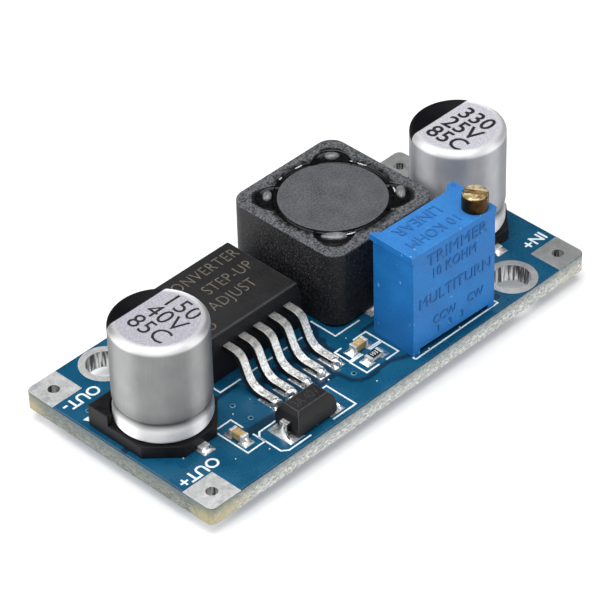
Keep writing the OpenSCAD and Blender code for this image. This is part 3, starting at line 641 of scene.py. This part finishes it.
def solderPool(edge, inward, length, halfWidth, film, climb, span, power):
    # a film over a land that rises as a power of the way in, towards the metal it has wetted;
    # the raised part is as wide as the land outside and narrows to the metal's half width inside
    way, across = np.meshgrid(np.linspace(0, 1, 16), np.linspace(-1, 1, 21), indexing="ij")
    inward = np.asarray(inward, float)
    beside = np.array([-inward[1], inward[0]])
    ridge = span + max(halfWidth - span, 0) * (1 - way) ** 1.5
    wetted = np.clip(1 - (np.abs(across) * halfWidth / ridge) ** 2.2, 0, 1)
    rim = (1 - (1 - way) ** 6) * (1 - np.abs(across) ** 8)
    rise = rim * (film + climb * way ** power * wetted)
    flat = np.asarray(edge)[:2] + way[..., None] * length * inward + across[..., None] * halfWidth * beside
    top = np.concatenate([flat, (seat + rise)[..., None]], -1)
    bottom = np.concatenate([flat, np.full(way.shape, seat - 0.02)[..., None]], -1)
    rows, columns = way.shape
    count = rows * columns
    faces = gridFaces(rows, columns)
    faces += [[index + count for index in face[::-1]] for face in faces]
    ring = np.arange(count).reshape(rows, columns)
    border = np.concatenate([ring[0, :-1], ring[:-1, -1], ring[-1, :0:-1], ring[:0:-1, 0]])
    following = np.roll(border, -1)
    faces += np.stack([border, following, following + count, border + count], -1).tolist()
    return np.stack([top, bottom]), faces


# The board: laminate, lacquer skin over the copper, printed legend

softenedCopy("circuit_board", "boardLaminate", [boardLaminate], 0.03, 1)

skin = {"cell": 0.16, "inset": 0.05, "float": 0.012, "rise": 0.02, "thickness": 0.009, "soft": 0.09,
        "overlap": 0.25,  # how far it runs in under the pads and rings
        "upper": [  # bare lanes between the copper areas: path and half width
            {"path": [(-13.4, -6.15), (-10.2, -6.35)], "half": 0.5},
            {"path": [(-3.5, -5.4), (-3.36, -6.6), (-3.3, -7.5), (-2.75, -8.2), (-1.85, -8.42),
                      (-0.4, -8.2), (0.8, -8.3), (1.8, -8.8), (12.5, -9.0)], "half": 0.24},
            {"path": [(-9.0, -2.5), (-1.4, -2.5)], "half": 0.45},
            {"path": [(-10.4, -6.2), (-3.5, -6.2)], "half": 0.25},
            *[{"path": [(x, -6.2), (x, -2.5)], "half": 0.28} for x in (-8.65, -6.95, -5.25, -3.55)],
            {"path": [(-1.7, -6.0), (-1.7, -2.4), (-0.55, -1.0), (-0.55, 10.4)], "half": 0.24},
            {"path": [(-12.4, 10.4), (-12.4, 0.6), (-12.4, -1.4), (-9.9, -1.4)], "half": 0.22},
            {"path": [(-21.6, -0.6), (-12.8, -0.6)], "half": 0.3},
            {"path": [(12.6, 10.4), (12.6, -3.6)], "half": 0.24},
            {"path": [(1.8, -4.0), (12.6, -4.0)], "half": 0.2},
        ],
        "lower": [  # a lane with a track keeps a strip of copper of that half width along its middle
            {"path": [(-21.6, -4.6), (-14.4, -4.6), (-12.9, -6.1), (-12.9, -10.4)], "half": 0.26},
            {"path": [(21.6, -4.2), (13.6, -4.2), (12.2, -5.6), (12.2, -10.4)], "half": 0.26},
            {"path": [(-21.6, 5.4), (-18.8, 5.4), (-17.6, 6.6), (-17.6, 10.4)], "half": 0.26},
            {"path": [(9.3, -7.0), (9.3, -4.4), (7.9, -3.0), (-1.6, -3.0), (-2.55, -3.95), (-2.55, -7.2)],
             "half": 0.55, "track": 0.3},
            {"path": [(4.2, -7.0), (4.2, -5.6), (3.2, -4.6), (0.2, -4.6), (-0.6, -5.4), (-0.6, -8.6),
                      (-1.4, -9.4), (-9.6, -9.4), (-11.95, -7.05), (-11.95, -2.95)],
             "half": 0.5, "track": 0.26},
            {"path": [(13.4, -2.6), (13.4, 1.2), (12.0, 2.6), (0.8, 2.6), (-0.6, 4.0), (-0.6, 8.6)],
             "half": 0.62, "track": 0.38},
        ]}
padSize = np.array([3.2, 3.16])
ringRadius = 2.2
padHigh = nodeBox("wire_pads")[1]
ringLow, ringHigh = nodeBox("mounting_rings")
ringCentres = [(ringLow[0] + ringRadius, ringHigh[1] - ringRadius),
               (ringHigh[0] - ringRadius, ringLow[1] + ringRadius)]


def pathDistance(x, y, path):
    # distance of every grid point from a line of corners, the least over its straight pieces
    nearest = np.full(x.shape, 1e3)
    for (x0, y0), (x1, y1) in zip(path[:-1], path[1:]):
        stepX, stepY = x1 - x0, y1 - y0
        share = np.clip(((x - x0) * stepX + (y - y0) * stepY) / (stepX ** 2 + stepY ** 2), 0, 1)
        nearest = np.minimum(nearest, np.hypot(x - x0 - share * stepX, y - y0 - share * stepY))
    return nearest


def laySkin(name, skin, lanes, face, out):
    # a height over one face of the board, out being up or down: a low level on bare laminate, a higher one
    # over copper, softened between
    sides = []
    for low, high in zip(boardLow[:2] + skin["inset"], boardHigh[:2] - skin["inset"]):
        side = np.arange(low, high + 1e-6, skin["cell"])
        side[-1] = high
        sides.append(side)
    x, y = np.meshgrid(*sides, indexing="ij")
    bare = np.full(x.shape, 1e3)
    for lane in lanes:
        away = pathDistance(x, y, lane["path"])
        bare = np.minimum(bare, np.maximum(away - lane["half"], lane.get("track", -1) - away))
    cover = np.clip(bare / skin["soft"] + 0.5, 0, 1)
    cover = cover * cover * (3 - 2 * cover)
    z = face + out * (skin["float"] + skin["rise"] * cover)
    middleX = (x[:-1, :-1] + x[1:, 1:]) / 2
    middleY = (y[:-1, :-1] + y[1:, 1:]) / 2
    padX, padY = padHigh[:2] - padSize + skin["overlap"]
    keep = (np.abs(middleX) < padX) | (np.abs(middleY) < padY)
    for centreX, centreY in ringCentres:
        keep &= np.hypot(middleX - centreX, middleY - centreY) > ringRadius - skin["overlap"]
    faces = np.array(gridFaces(*x.shape))[keep.reshape(-1)][:, ::out]
    used, faces = np.unique(faces, return_inverse=True)
    points = np.stack([x, y, z], -1).reshape(-1, 3)[used] * mm
    mesh = bpy.data.meshes.new(name)
    mesh.from_pydata(points.tolist(), [], faces.reshape(-1, 4).tolist())
    shade = mesh.attributes.new("copperCover", "FLOAT", "POINT")
    shade.data.foreach_set("value", cover.reshape(-1)[used].astype(np.float32))
    mesh.shade_smooth()
    piece = addPiece(name, mesh, [boardMask])
    film = piece.modifiers.new("lacquer", "SOLIDIFY")
    film.thickness = skin["thickness"] * mm
    film.offset = -1


laySkin("maskSkin", skin, skin["upper"], boardTop, 1)
laySkin("underSkin", skin, skin["lower"], 0.0, -1)

printed = {"line": 0.17, "low": boardTop + 0.02, "high": boardTop + 0.042, "letter": 1.05,
           "lines": [
               [(-11.42, -0.3), (-11.42, -1.08), (-9.15, -1.1)], [(-6.1, -1.05), (-5.5, -1.05)],
               [(-7.9, -1.06), (-7.2, -1.06)], [(-4.3, -1.05), (-3.8, -1.05)],
               [(-2.6, -1.05), (-0.95, -1.05)],
               [(-0.17, -0.1), (-0.17, -2.9), (2.6, -2.92)], [(9.8, -2.92), (12.5, -2.92)],
               [(-10.86, -6.7), (-12.7, -6.7), (-13.15, -7.15), (-13.15, -9.5), (-12.65, -9.9),
                (-10.2, -9.9)],
               [(-6.6, -6.66), (-5.14, -6.66), (-5.14, -9.88), (-7.7, -9.86)],
               [(-13.2, -5.4), (-13.2, -4.05), (-15.05, -4.05), (-15.05, -7.8), (-13.2, -7.8), (-13.2, -6.5)],
               [(-0.95, -4.3), (-1.72, -4.3), (-1.72, -5.92), (-0.4, -5.92)],
               [(0.4, -4.3), (1.88, -4.3), (1.88, -5.92), (0.4, -5.92)],
               [(-0.35, -6.1), (-1.78, -6.1), (-1.78, -7.9), (-0.35, -7.9)],
               [(0.45, -6.1), (1.88, -6.1), (1.88, -7.9), (0.45, -7.9)],
               [(2.07, -9.62), (11.84, -9.62), (11.84, -9.02)], [(3.8, -9.62), (3.8, -9.4)],
               [(7.45, -9.62), (7.45, -9.4)], [(2.07, -9.62), (2.07, -9.3)],
           ],
           "labels": [("OUT-", (-19.35, 6.5)), ("OUT+", (-19.2, -6.55)), ("IN+", (20.05, -6.3)),
                      ("IN-", (20.05, 6.4))],
           "pointer": [(-21.1, 4.45), (-20.5, 4.45), (-20.8, 3.85)]}  # a small triangle beside the capacitor


def printBoard(printed):
    low, high = printed["low"], printed["high"]
    parts = [ribbon(line, printed["line"], low, high) for line in printed["lines"]]
    for words, (x, y) in printed["labels"]:
        parts.append(lettering(words, printed["letter"], (x, y, low), high - low, (-1, 0, 0), (0, -1, 0),
                               bold=0.018, spacing=0.98))
    corners = [(x, y, z) for z in (low, high) for x, y in printed["pointer"]]
    parts.append((corners, [[2, 1, 0], [3, 4, 5], [0, 1, 4, 3], [1, 2, 5, 4], [2, 0, 3, 5]]))
    makePiece("boardLegend", parts, legendInk)


printBoard(printed)

vias = {"places": [(-11.9, -2.95), (-11.95, -5.02), (-2.55, -7.2), (-20.0, 4.95), (13.4, -2.6)],
        "hole": 0.13, "ring": 0.27, "low": 0.02, "high": 0.045, "slopeIn": 0.03, "slopeOut": 0.05,
        "plug": 0.15, "plugRim": 0.041, "plugMiddle": 0.033, "segments": 24}


def ringVias(vias):
    # on each face a low ring round each via, and the dished lacquer that closes it
    low, plug = vias["low"], vias["plug"]
    section = lowRing(vias["hole"], vias["ring"], low, vias["high"], vias["slopeIn"], vias["slopeOut"])
    dish = [(0, low), (plug, low), (plug, vias["plugRim"]), (0, vias["plugMiddle"])]
    for name, profile, finish in (("viaRings", section, viaLacquer), ("viaPlugs", dish, viaPlug)):
        parts = []
        for face, out in ((boardTop, 1), (0.0, -1)):
            turned = [(radius, face + out * high) for radius, high in profile]
            parts += [lathe(turned, place, vias["segments"]) for place in vias["places"]]
        makePiece(name, parts, finish)


ringVias(vias)

softenedCopy("wire_pads", "wirePads", [tinnedPad], 0.02)
softenedCopy("mounting_rings", "mountingRings", [tinnedPad], 0.04)
softenedCopy("copper_lands", "copperLands", [tinnedPad], 0.015, 1)
print("board dressed")


# Capacitors

can = {"segments": 128, "curl": 0.45, "ringRound": 1.1, "groove": 1.85, "depth": 0.42, "wallRound": 0.7,
       "shoulder": 0.5, "dish": 0.012, "slope": 0.5, "inkSkirt": 0.62, "inkThick": 0.01, "inkSunk": 0.002,
       # levels between which each painted highlight and the painted shade come in: the shoulder's from the
       # top down, the ring's and the shade's from the groove
       "paintedShoulderHighlight": np.array([-0.62, -0.36]), "ring": np.array([-0.1, -0.55]),
       "paintedShadeOver": np.array([1.5, 0.2]), "paintedShadeUnder": np.array([-0.6, -0.1]), "paintedShade": 0.36}
# both cans are one aluminium: the input can's lighter tones and lid, and its lower metal, are painted light
cans = [
    {"name": "output", "chord": 2.19, "letter": 1.58, "bold": 0.0, "metal": 0.9,
     "tones": ("#9e9f9f", "#aeafaf"), "lid": ("#8f8e96", "#b0afb8"),
     "rows": [("150", (2.2, -0.38)), ("40V", (0.42, -0.38)), ("85C", (-1.38, -0.4))]},
    {"name": "input", "chord": 1.8, "letter": 1.52, "bold": 0.016, "metal": 0.75,
     "tones": ("#acadb1", "#bcbdc1"), "lid": ("#9b9aa2", "#bfbec6"),
     "rows": [("330", (1.7, -0.5)), ("25V", (-0.08, -0.5)), ("85C", (-1.9, -0.5))]},
]


def canMaterial(capacitor, box):
    # Drawn aluminium: satin wall whose fine rings draw each light out into an upright band, a painted
    # highlight on the shoulder and the ring and painted shade round the groove; a lilac-grey lacquered lid,
    # and a black sector stamped over it and a little way down the wall
    look = mottledMaterial("drawnAluminium." + capacitor["name"],
                           {"Specular IOR Level": 0.12, "Anisotropic": 0.95, "Anisotropic Rotation": 0.25},
                           capacitor["tones"], patch=2.2, grain=0.12, fine=0.3, gloss=(0.52, 0.6),
                           relief=0.002, stretch=(1, 1, 0.08))
    add = look.add
    low, high = box
    top = high[2]
    chord = (low[1] + high[1]) / 2 + capacitor["chord"]
    skirt = top - can["inkSkirt"]
    ink = add("Math", passed(look, "Y", chord, chord + 0.06), passed(look, "Z", skirt, skirt + 0.05),
              operation="MULTIPLY")
    flatLid = (high[0] - low[0]) / 2 - can["shoulder"]
    lid = add("MapRange", fromAxis(look, box)[1], (flatLid + can["shoulder"] / 2) * mm, (flatLid - 0.25) * mm)
    covered = add("Math", ink, lid, operation="MAXIMUM")
    bare = add("MapRange", covered, 0, 1, capacitor["metal"], 0.0)
    groove = low[2] + can["groove"]
    # painted highlights: on the shoulder from the top down, and on the ring below the groove
    paintedShoulderHighlight = passed(look, "Z", *(top + can["paintedShoulderHighlight"]))
    ring = passed(look, "Z", *(groove + can["ring"]))
    # painted shade round the groove, fading out above and below it
    over = passed(look, "Z", *(groove + can["paintedShadeOver"]), can["paintedShade"])
    under = passed(look, "Z", *(groove + can["paintedShadeUnder"]))
    grooveWithPaintedShade = add("Mix", add("Math", over, under, operation="MULTIPLY"), look.colour, "#4c4d4e")
    wall = add("Mix", add("Math", paintedShoulderHighlight, ring, operation="MAXIMUM"), grooveWithPaintedShade, "#f2f2f3")
    speckle = add("MapRange", look.grain, 0.38, 0.62)
    metal = add("Mix", lid, wall, add("Mix", speckle, *capacitor["lid"]))
    colour = add("Mix", ink, metal, add("Mix", speckle, "#0a0a0c", "#131316"))
    return wire(look, {"Base Color": colour, "Metallic": bare, "Roughness": add("Mix", lid, look.gloss, 0.58),
                       "Tangent": add("Tangent", direction_type="RADIAL", axis="Z")})


def arc(centre, radius, start, end, count=10):
    turn = np.radians(np.linspace(start, end, count))
    return np.column_stack([centre[0] + radius * np.cos(turn), centre[1] + radius * np.sin(turn)])


def canProfile(bottom, top, radius):
    # from the axis outwards: lower curl, full ring, groove, wall, shoulder, each an arc; then the dished lid
    groove = bottom + can["groove"]
    ringTurn = math.degrees(math.acos(1 - can["depth"] / can["ringRound"]))
    wallTurn = math.degrees(math.acos(1 - can["depth"] / can["wallRound"]))
    ringLevel = groove - can["ringRound"] * math.sin(math.radians(ringTurn))
    wallLevel = groove + can["wallRound"] * math.sin(math.radians(wallTurn))
    way = np.linspace(0, 1, 7)[1:]
    lid = np.column_stack([radius - can["shoulder"] - can["slope"] * way,
                           top - can["dish"] * way * way * (3 - 2 * way)])
    return np.vstack([
        [(0, bottom)],
        arc((radius - can["curl"], bottom + can["curl"]), can["curl"], -90, 0),
        arc((radius - can["ringRound"], ringLevel), can["ringRound"], 0, ringTurn, 14),
        arc((radius - can["wallRound"], wallLevel), can["wallRound"], -wallTurn, 0, 12),
        arc((radius - can["shoulder"], top - can["shoulder"]), can["shoulder"], 0, 90),
        lid, [(lid[-1, 0] / 2, lid[-1, 1]), (0, lid[-1, 1])]])


def standCan(capacitor):
    name, node = capacitor["name"], capacitor["name"] + "_can"
    box = nodeBox(node)
    low, high = box
    centre = (low + high)[:2] / 2
    turned = lathe(canProfile(low[2], high[2], (high[0] - low[0]) / 2), centre, can["segments"])
    piece = makePiece(name + "Can", [turned], canMaterial(capacitor, box), crease=60)
    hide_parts(node)
    level = high[2] - can["dish"] - can["inkSunk"]
    stamps = [lettering(words, capacitor["letter"], (*(centre + place), level), can["inkThick"], (0, -1, 0),
                        (1, 0, 0), capacitor["bold"], spacing=1.04) for words, place in capacitor["rows"]]
    makePiece(name + "CanPrint", stamps, canInk)
    softenedCopy(name + "_base", name + "Base", [baseNylon], 0.09)
    softenedCopy(name + "_leads", name + "CanLeads", [leadTin], 0.04)


for capacitor in cans:
    standCan(capacitor)
print("capacitors stood up")


# Regulator

softenedCopy("regulator_body", "regulatorMoulding", [epoxy, wornEpoxy], 0.07)
softenedCopy("regulator_tab", "regulatorTab", [leadTin], 0.06)
softenedCopy("regulator_leads", "regulatorLeads", [strapTin], 0.07)

burn = {"thickness": 0.008, "sunk": 0.002}  # laser marks stand this thick, a little sunk in the moulding
marks = {"rows": [("CONVERTER", (-5.75, 6.65)), ("STEP-UP", (-4.6, 4.7)), ("ADJUST", (-5.85, 2.9))],
         "letter": 1.15, "squeeze": 0.8, "dot": (-9.9, 1.3), "dotRadius": 0.42}


def markRegulator(marks):
    top = nodeBox("regulator_body")[1][2]
    parts = [lettering(words, marks["letter"], (*place, top - burn["sunk"]), burn["thickness"], bold=-0.012,
                       spacing=1.1, squeeze=marks["squeeze"]) for words, place in marks["rows"]]
    radius = marks["dotRadius"]
    parts.append(lathe(lowRing(radius - 0.07, radius + 0.02, top, top + 0.006, 0.02, 0.02), marks["dot"], 40))
    makePiece("regulatorMarks", parts, laserMark)


markRegulator(marks)

feet = {"places": [-9.5, -7.8, -6.1, -4.4, -2.7], "half": 0.4, "tip": -5.38, "heel": -3.84, "landTip": -5.88,
        "landHalf": 0.55, "thick": 0.5, "blobLong": 0.46, "blobWide": 0.5, "over": 0.07,
        "tipPool": {"film": 0.12, "climb": 0.36, "span": 0.48, "power": 1.3},
        "sidePool": {"film": 0.03, "climb": 0.3, "span": 1.0, "power": 1.8}}


def solderFeet(feet):
    # at every foot one pool before its tip, one low fillet along each side, and a lumpy dome run over the tip
    parts = []
    tip, landHalf = feet["tip"], feet["landHalf"]
    middle = (tip + feet["heel"]) / 2
    angle = fullTurn(40)
    rise = np.linspace(0, np.pi / 2, 10)[None, :]
    for x in feet["places"]:
        lump = (1 + 0.14 * np.sin(2 * angle + 3 * x) + 0.09 * np.sin(3 * angle + 5 * x)
                + 0.05 * np.sin(7 * angle))
        reach = lump * np.cos(rise) ** 0.8
        swell = 1 + 0.08 * np.cos(rise) * np.sin(4 * angle + x)
        high = (feet["thick"] + feet["over"]) * np.sin(rise) * swell
        dome = np.stack([x + feet["blobWide"] * reach * np.cos(angle),
                         tip + feet["blobLong"] * reach * np.sin(angle), seat + high], -1)
        heart = np.broadcast_to(np.array([x, tip, seat]), dome[:, :1].shape)
        dome = np.concatenate([heart, dome], 1)
        parts.append((dome, gridFaces(*dome.shape[:2], True)))
        parts.append(solderPool((x, feet["landTip"] + 0.02), (0, 1), tip - feet["landTip"] + 0.06,
                                landHalf - 0.02, **feet["tipPool"]))
        for side in (-1, 1):
            parts.append(solderPool((x + side * (landHalf - 0.01), middle), (-side, 0),
                                    landHalf - feet["half"] + 0.03, (feet["heel"] - tip) / 2,
                                    **feet["sidePool"]))
    makePiece("regulatorSolder", parts, solder)


solderFeet(feet)
print("regulator mounted")


# Inductor

softenedCopy("inductor_shield", "inductorShield", [shieldFerrite], 0.16, 3)
softenedCopy("inductor_core", "inductorCore", [coreFerrite], 0.06)
softenedCopy("inductor_terminals", "inductorTerminals", [leadTin], 0.03, 1)
paintSolid("inductor_winding", enamelledWire)

inductorTop = inductorBox[1][2]
inductorCentre = (inductorBox[0] + inductorBox[1])[:2] / 2
glue = {"well": 4.95, "core": 4.55, "pocketRadius": 1.66, "pocketAt": 4.6, "sink": 0.2, "deep": 0.6,
        "slack": 0.05, "wave": 0.05, "creep": 0.13,  # how far it has sunk, waves and creeps up the walls
        "pocketSlack": 0.06, "pocketWave": 0.04, "pocketCreep": 0.12,
        "drops": [  # place from the middle of the inductor, half length along the ring, half width across it
            {"place": (4.13, 4.06), "long": 0.62, "wide": 0.42, "high": 0.34},
            {"place": (-3.37, 4.14), "long": 0.62, "wide": 0.38, "high": 0.34},
            {"place": (-3.52, -3.5), "long": 1.08, "wide": 0.46, "high": 0.24},
            {"place": (4.38, -3.45), "long": 0.82, "wide": 0.4, "high": 0.32}],
        "dropFoot": 0.25}


def pour(parts, flat, height, floor, closed):
    # a surface and a flat copy of it at the floor, joined round their edges
    top = np.concatenate([flat, height[..., None]], -1)
    bottom = top.copy()
    bottom[..., 2] = floor
    loop = np.concatenate([top, bottom[:, ::-1]], 1)
    parts.append((loop, gridFaces(*loop.shape[:2], True, closed)))


def pourGlue(glue):
    # a trough round the core that creeps up both walls, and four pockets filled to it
    level = inductorTop - glue["sink"]
    parts = []
    turn = fullTurn(260)
    across = np.linspace(-1, 1, 11)[None, :]
    middle, half = (glue["well"] + glue["core"]) / 2, (glue["well"] - glue["core"]) / 2 + 0.02
    swell = sum(np.sin(turn * count + chance.uniform(0, 6.3)) / count for count in (3, 5, 8, 13, 21))
    radius = middle + half * across + 0 * turn
    height = level + glue["wave"] * swell + glue["creep"] * across ** 4 - glue["slack"]
    flat = inductorCentre + np.stack([radius * np.cos(turn), radius * np.sin(turn)], -1)
    pour(parts, flat, height, level - glue["deep"], True)
    angle = fullTurn(48)
    ring = np.linspace(0, 1, 12)[None, :]
    for quarter in range(4):
        heading = np.pi / 4 + quarter * np.pi / 2
        out = np.array([np.cos(heading), np.sin(heading)])
        beside = np.array([-out[1], out[0]])
        flat = (out * glue["pocketAt"] + (ring * np.cos(angle))[..., None] * glue["pocketRadius"] * out
                + (ring * np.sin(angle))[..., None] * glue["pocketRadius"] * beside)
        far = np.linalg.norm(flat, axis=-1, keepdims=True)
        flat = flat * np.maximum(far, glue["core"] - 0.02) / np.maximum(far, 1e-6)
        height = (level - glue["pocketSlack"] + glue["pocketCreep"] * ring ** 6
                  + glue["pocketWave"] * np.sin(5 * angle + quarter) * ring)
        pour(parts, inductorCentre + flat, height, level - glue["deep"], False)
    piece = makePiece("inductorGlue", parts, pottingGlue, crease=60)
    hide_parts("inductor_glue")


def setDrops(glue):
    # each drop is a dome on an egg-shaped plan, long along the ring and blunter at one end
    level = inductorTop - glue["sink"] - glue["slack"]
    foot = level - glue["dropFoot"]
    angle = fullTurn(48)
    rise = np.linspace(0, np.pi / 2, 10)[None, :]
    parts = []
    for drop in glue["drops"]:
        place = np.array(drop["place"])
        out = place / np.linalg.norm(place)
        beside = np.array([-out[1], out[0]])
        blunt = 1 + 0.22 * np.sin(angle) + 0.06 * np.sin(3 * angle + place[0])
        wide = drop["wide"] * blunt * np.cos(rise) * np.cos(angle)
        lengthwise = drop["long"] * np.cos(rise) * np.sin(angle)
        flat = inductorCentre + place + wide[..., None] * out + lengthwise[..., None] * beside
        height = level + drop["high"] * np.sin(rise) ** 0.8 + 0 * angle
        dome = np.concatenate([flat, height[..., None]], -1)
        skirt = dome[:, :1].copy()
        skirt[..., 2] = foot
        heart = np.broadcast_to(np.array([*(inductorCentre + place), foot]), skirt.shape)
        dome = np.concatenate([heart, skirt, dome], 1)
        parts.append((dome, gridFaces(*dome.shape[:2], True)))
    makePiece("glueDrops", parts, milkyGlue, crease=70)


threads = {"arcs": [(66, 86), (100, 107), (-6, 28), (-40, -32), (236, 246)], "radius": 5.04, "thick": 0.07,
           "sunk": 0.07, "wander": 0.05, "count": 40, "sides": 10}


def layThreads(threads):
    # thin beads of glue along the well's edge: a circle carried along each arc, drawn thin at both ends
    parts = []
    count, sides = threads["count"], threads["sides"]
    circle = fullTurn(sides).T
    for start, end in threads["arcs"]:
        turn = np.radians(np.linspace(start, end, count))[:, None]
        thick = threads["thick"] * np.sin(np.linspace(0.04, np.pi - 0.04, count))[:, None] ** 0.4
        radius = threads["radius"] + threads["wander"] * np.sin(turn * 17) + thick * np.cos(circle)
        height = inductorTop - threads["sunk"] + thick * np.sin(circle)
        bead = np.stack([inductorCentre[0] + radius * np.cos(turn), inductorCentre[1] + radius * np.sin(turn),
                         height + 0 * turn], -1)
        last = (count - 1) * sides
        caps = [list(range(sides)), list(range(last + sides - 1, last - 1, -1))]
        parts.append((bead, gridFaces(count, sides, closedColumns=True) + caps))
    makePiece("glueThreads", parts, paintedGlintThread, crease=70)


setDrops(glue)
layThreads(threads)
pourGlue(glue)
print("inductor potted")


# Trimmer and its screw

softenedCopy("trimmer_housing", "trimmerCase", [trimmerBlue, wornBlue], 0.07)
softenedCopy("trimmer_screw", "adjusterScrew", [screwBrass], 0.05, body="adjuster")
softenedCopy("trimmer_pins", "trimmerPins", [leadTin], 0.04, 1)
softenedCopy("pin_solder", "pinSolder", [solder], 0.03)
paintSolid("trimmer_resin", sealResin)

relief = {"pivot": (2.0, -9.33), "turn": -1.8, "top": 11.63, "height": 0.06, "sunk": 0.005,
          # rows of words, each with its size, squeeze and place
          "topRows": [("10 KOHM", 1.0, 0.9, (3.75, 1.35)), ("LINEAR", 1.1, 0.9, (3.75, 3.2))],
          "frontRows": [("TRIMMER", 1.1, 1.0, (5.05, 8.75)), ("10 KOHM", 0.95, 0.85, (4.7, 7.25)),
                        ("MULTITURN", 1.05, 0.95, (4.85, 4.85)), ("CCW    CW", 0.8, 0.9, (5.2, 2.45)),
                        ("1   2   3", 0.65, 1.0, (4.3, 1.4))],
          "mark": (9.15, 4.42), "markRadius": 0.2, "markHeight": 0.03}  # a small moulded ring on the back tab


def raiseRelief(relief):
    # moulded figures stand a little proud of the lid and of the front wall
    lean = math.radians(relief["turn"])
    right = np.array([math.cos(lean), math.sin(lean), 0])
    back = np.array([-math.sin(lean), math.cos(lean), 0])
    upright = np.array([0, 0, 1.0])
    pivot = np.array([*relief["pivot"], 0])
    top, sunk = relief["top"], relief["sunk"]
    parts = []
    for words, size, squeeze, (along, inward) in relief["topRows"]:
        place = pivot + along * right + inward * back + (top - sunk) * upright
        parts.append(lettering(words, size, place, relief["height"], -right, -back, spacing=1.05,
                               squeeze=squeeze))
    for words, size, squeeze, (along, high) in relief["frontRows"]:
        place = pivot + along * right + (boardTop + high) * upright + sunk * back
        parts.append(lettering(words, size, place, relief["height"], right, upright, spacing=1.05,
                               squeeze=squeeze))
    spot = pivot + relief["mark"][0] * right + relief["mark"][1] * back
    size = relief["markRadius"]
    section = lowRing(size - 0.08, size + 0.03, top, top + relief["markHeight"], 0.03, 0.03)
    parts.append(lathe(section, spot, 28))
    makePiece("trimmerRelief", parts, shadedReliefBlue)


raiseRelief(relief)
print("trimmer set")


# Diode and chips

softenedCopy("diode_body", "diodeMoulding", [epoxy, wornEpoxy], 0.06)
softenedCopy("diode_leads", "diodeLeads", [foldedTin], 0.04)
softenedCopy("output_chip_body", "outputChipBody", [chipCeramic], 0.04)
softenedCopy("output_chip_ends", "outputChipEnds", [leadTin], 0.06)
softenedCopy("pair_capacitor_body", "pairCapacitorBody", [chipCeramic], 0.04)
softenedCopy("pair_capacitor_ends", "pairCapacitorEnds", [leadTin], 0.06)
softenedCopy("resistor_body", "resistorBody", [alumina], 0.02)
softenedCopy("resistor_coat_layer", "resistorCoatLayer", [resistorCoat], 0.02)
softenedCopy("resistor_ends", "resistorEnds", [leadTin], 0.04)

diodeAt = (-9.1, -8.3)
resistorAt = (-0.03, -7.03)
upright = math.pi / 2
chipJoint = {"lead": 0.77, "land": 1.25, "half": 0.52,
             "pool": {"film": 0.07, "climb": 0.34, "span": 0.4, "power": 1.9}}
joints = [  # the places of a kind of part, how it is turned, where its metal and its land end, and its pools
    {"places": [diodeAt], "turn": 0, "lead": 2.55, "land": 3.05, "half": 1.3,
     "pool": {"film": 0.17, "climb": 1.0, "span": 0.45, "power": 1.3}},
    {"places": [(-14.3, -6.05)], "turn": upright, **chipJoint},
    {"places": [(-0.03, -5.34), resistorAt], "turn": 0, **chipJoint},
    {"places": [(6.2, 3.35)], "turn": upright, "lead": 6.2, "land": 6.7, "half": 2.65,
     "pool": {"film": 0.07, "climb": 0.2, "span": 2.6, "power": 1.9}},
    {"places": [(-17.0, -0.5), (17.0, -0.5)], "turn": upright, "lead": 4.65, "land": 5.15, "half": 0.6,
     "pool": {"film": 0.07, "climb": 0.22, "span": 0.55, "power": 1.9}},
]


def solderJoints(joints):
    # one pool at each end of every part
    parts = []
    for heading in (0, math.pi):
        for joint in joints:
            turn = heading + joint["turn"]
            inward = -np.array([math.cos(turn), math.sin(turn)])
            for place in joint["places"]:
                edge = np.asarray(place) - inward * (joint["land"] - 0.02)
                parts.append(solderPool(edge, inward, joint["land"] - joint["lead"], joint["half"] - 0.03,
                                        **joint["pool"]))
    makePiece("partSolder", parts, solder)


solderJoints(joints)

diodeTop = nodeBox("diode_body")[1][2]
rating = lettering("3A 40V", 0.85, (*diodeAt, diodeTop - burn["sunk"]), burn["thickness"], bold=-0.006,
                   spacing=0.95, squeeze=0.75)
makePiece("diodeMark", [rating], wornEpoxy)
coatTop = nodeBox("resistor_coat_layer")[1][2]
code = lettering("103", 0.4, (*resistorAt, coatTop - 0.001), burn["thickness"], squeeze=0.85)
makePiece("resistorCode", [code], legendInk)

specks = {"places": [(-12.6, -3.7), (-10.4, -3.4), (-9.6, -6.3), (-4.5, -6.3), (-13.6, -8.7), (-16.2, -7.6),
                     (-18.9, -4.6), (-9.0, -9.35), (0.2, -3.7), (13.6, -5.6), (-2.0, -9.2)],
          "radius": (0.05, 0.1), "level": boardTop + 0.03, "sides": 10, "rows": 7}


def scatterSpecks(specks):
    # tiny round balls left by the soldering, half sunk in the lacquer
    parts = []
    turn = fullTurn(specks["sides"])
    rise = np.linspace(-np.pi / 2, np.pi / 2, specks["rows"])[None, :]
    for x, y in specks["places"]:
        size = chance.uniform(*specks["radius"])
        ball = np.stack([x + size * np.cos(rise) * np.cos(turn), y + size * np.cos(rise) * np.sin(turn),
                         specks["level"] + size * np.sin(rise) + 0 * turn], -1)
        parts.append((ball, gridFaces(specks["sides"], specks["rows"], True)))
    makePiece("solderSpecks", parts, solder, crease=80)


scatterSpecks(specks)

bpy.context.view_layer.update()
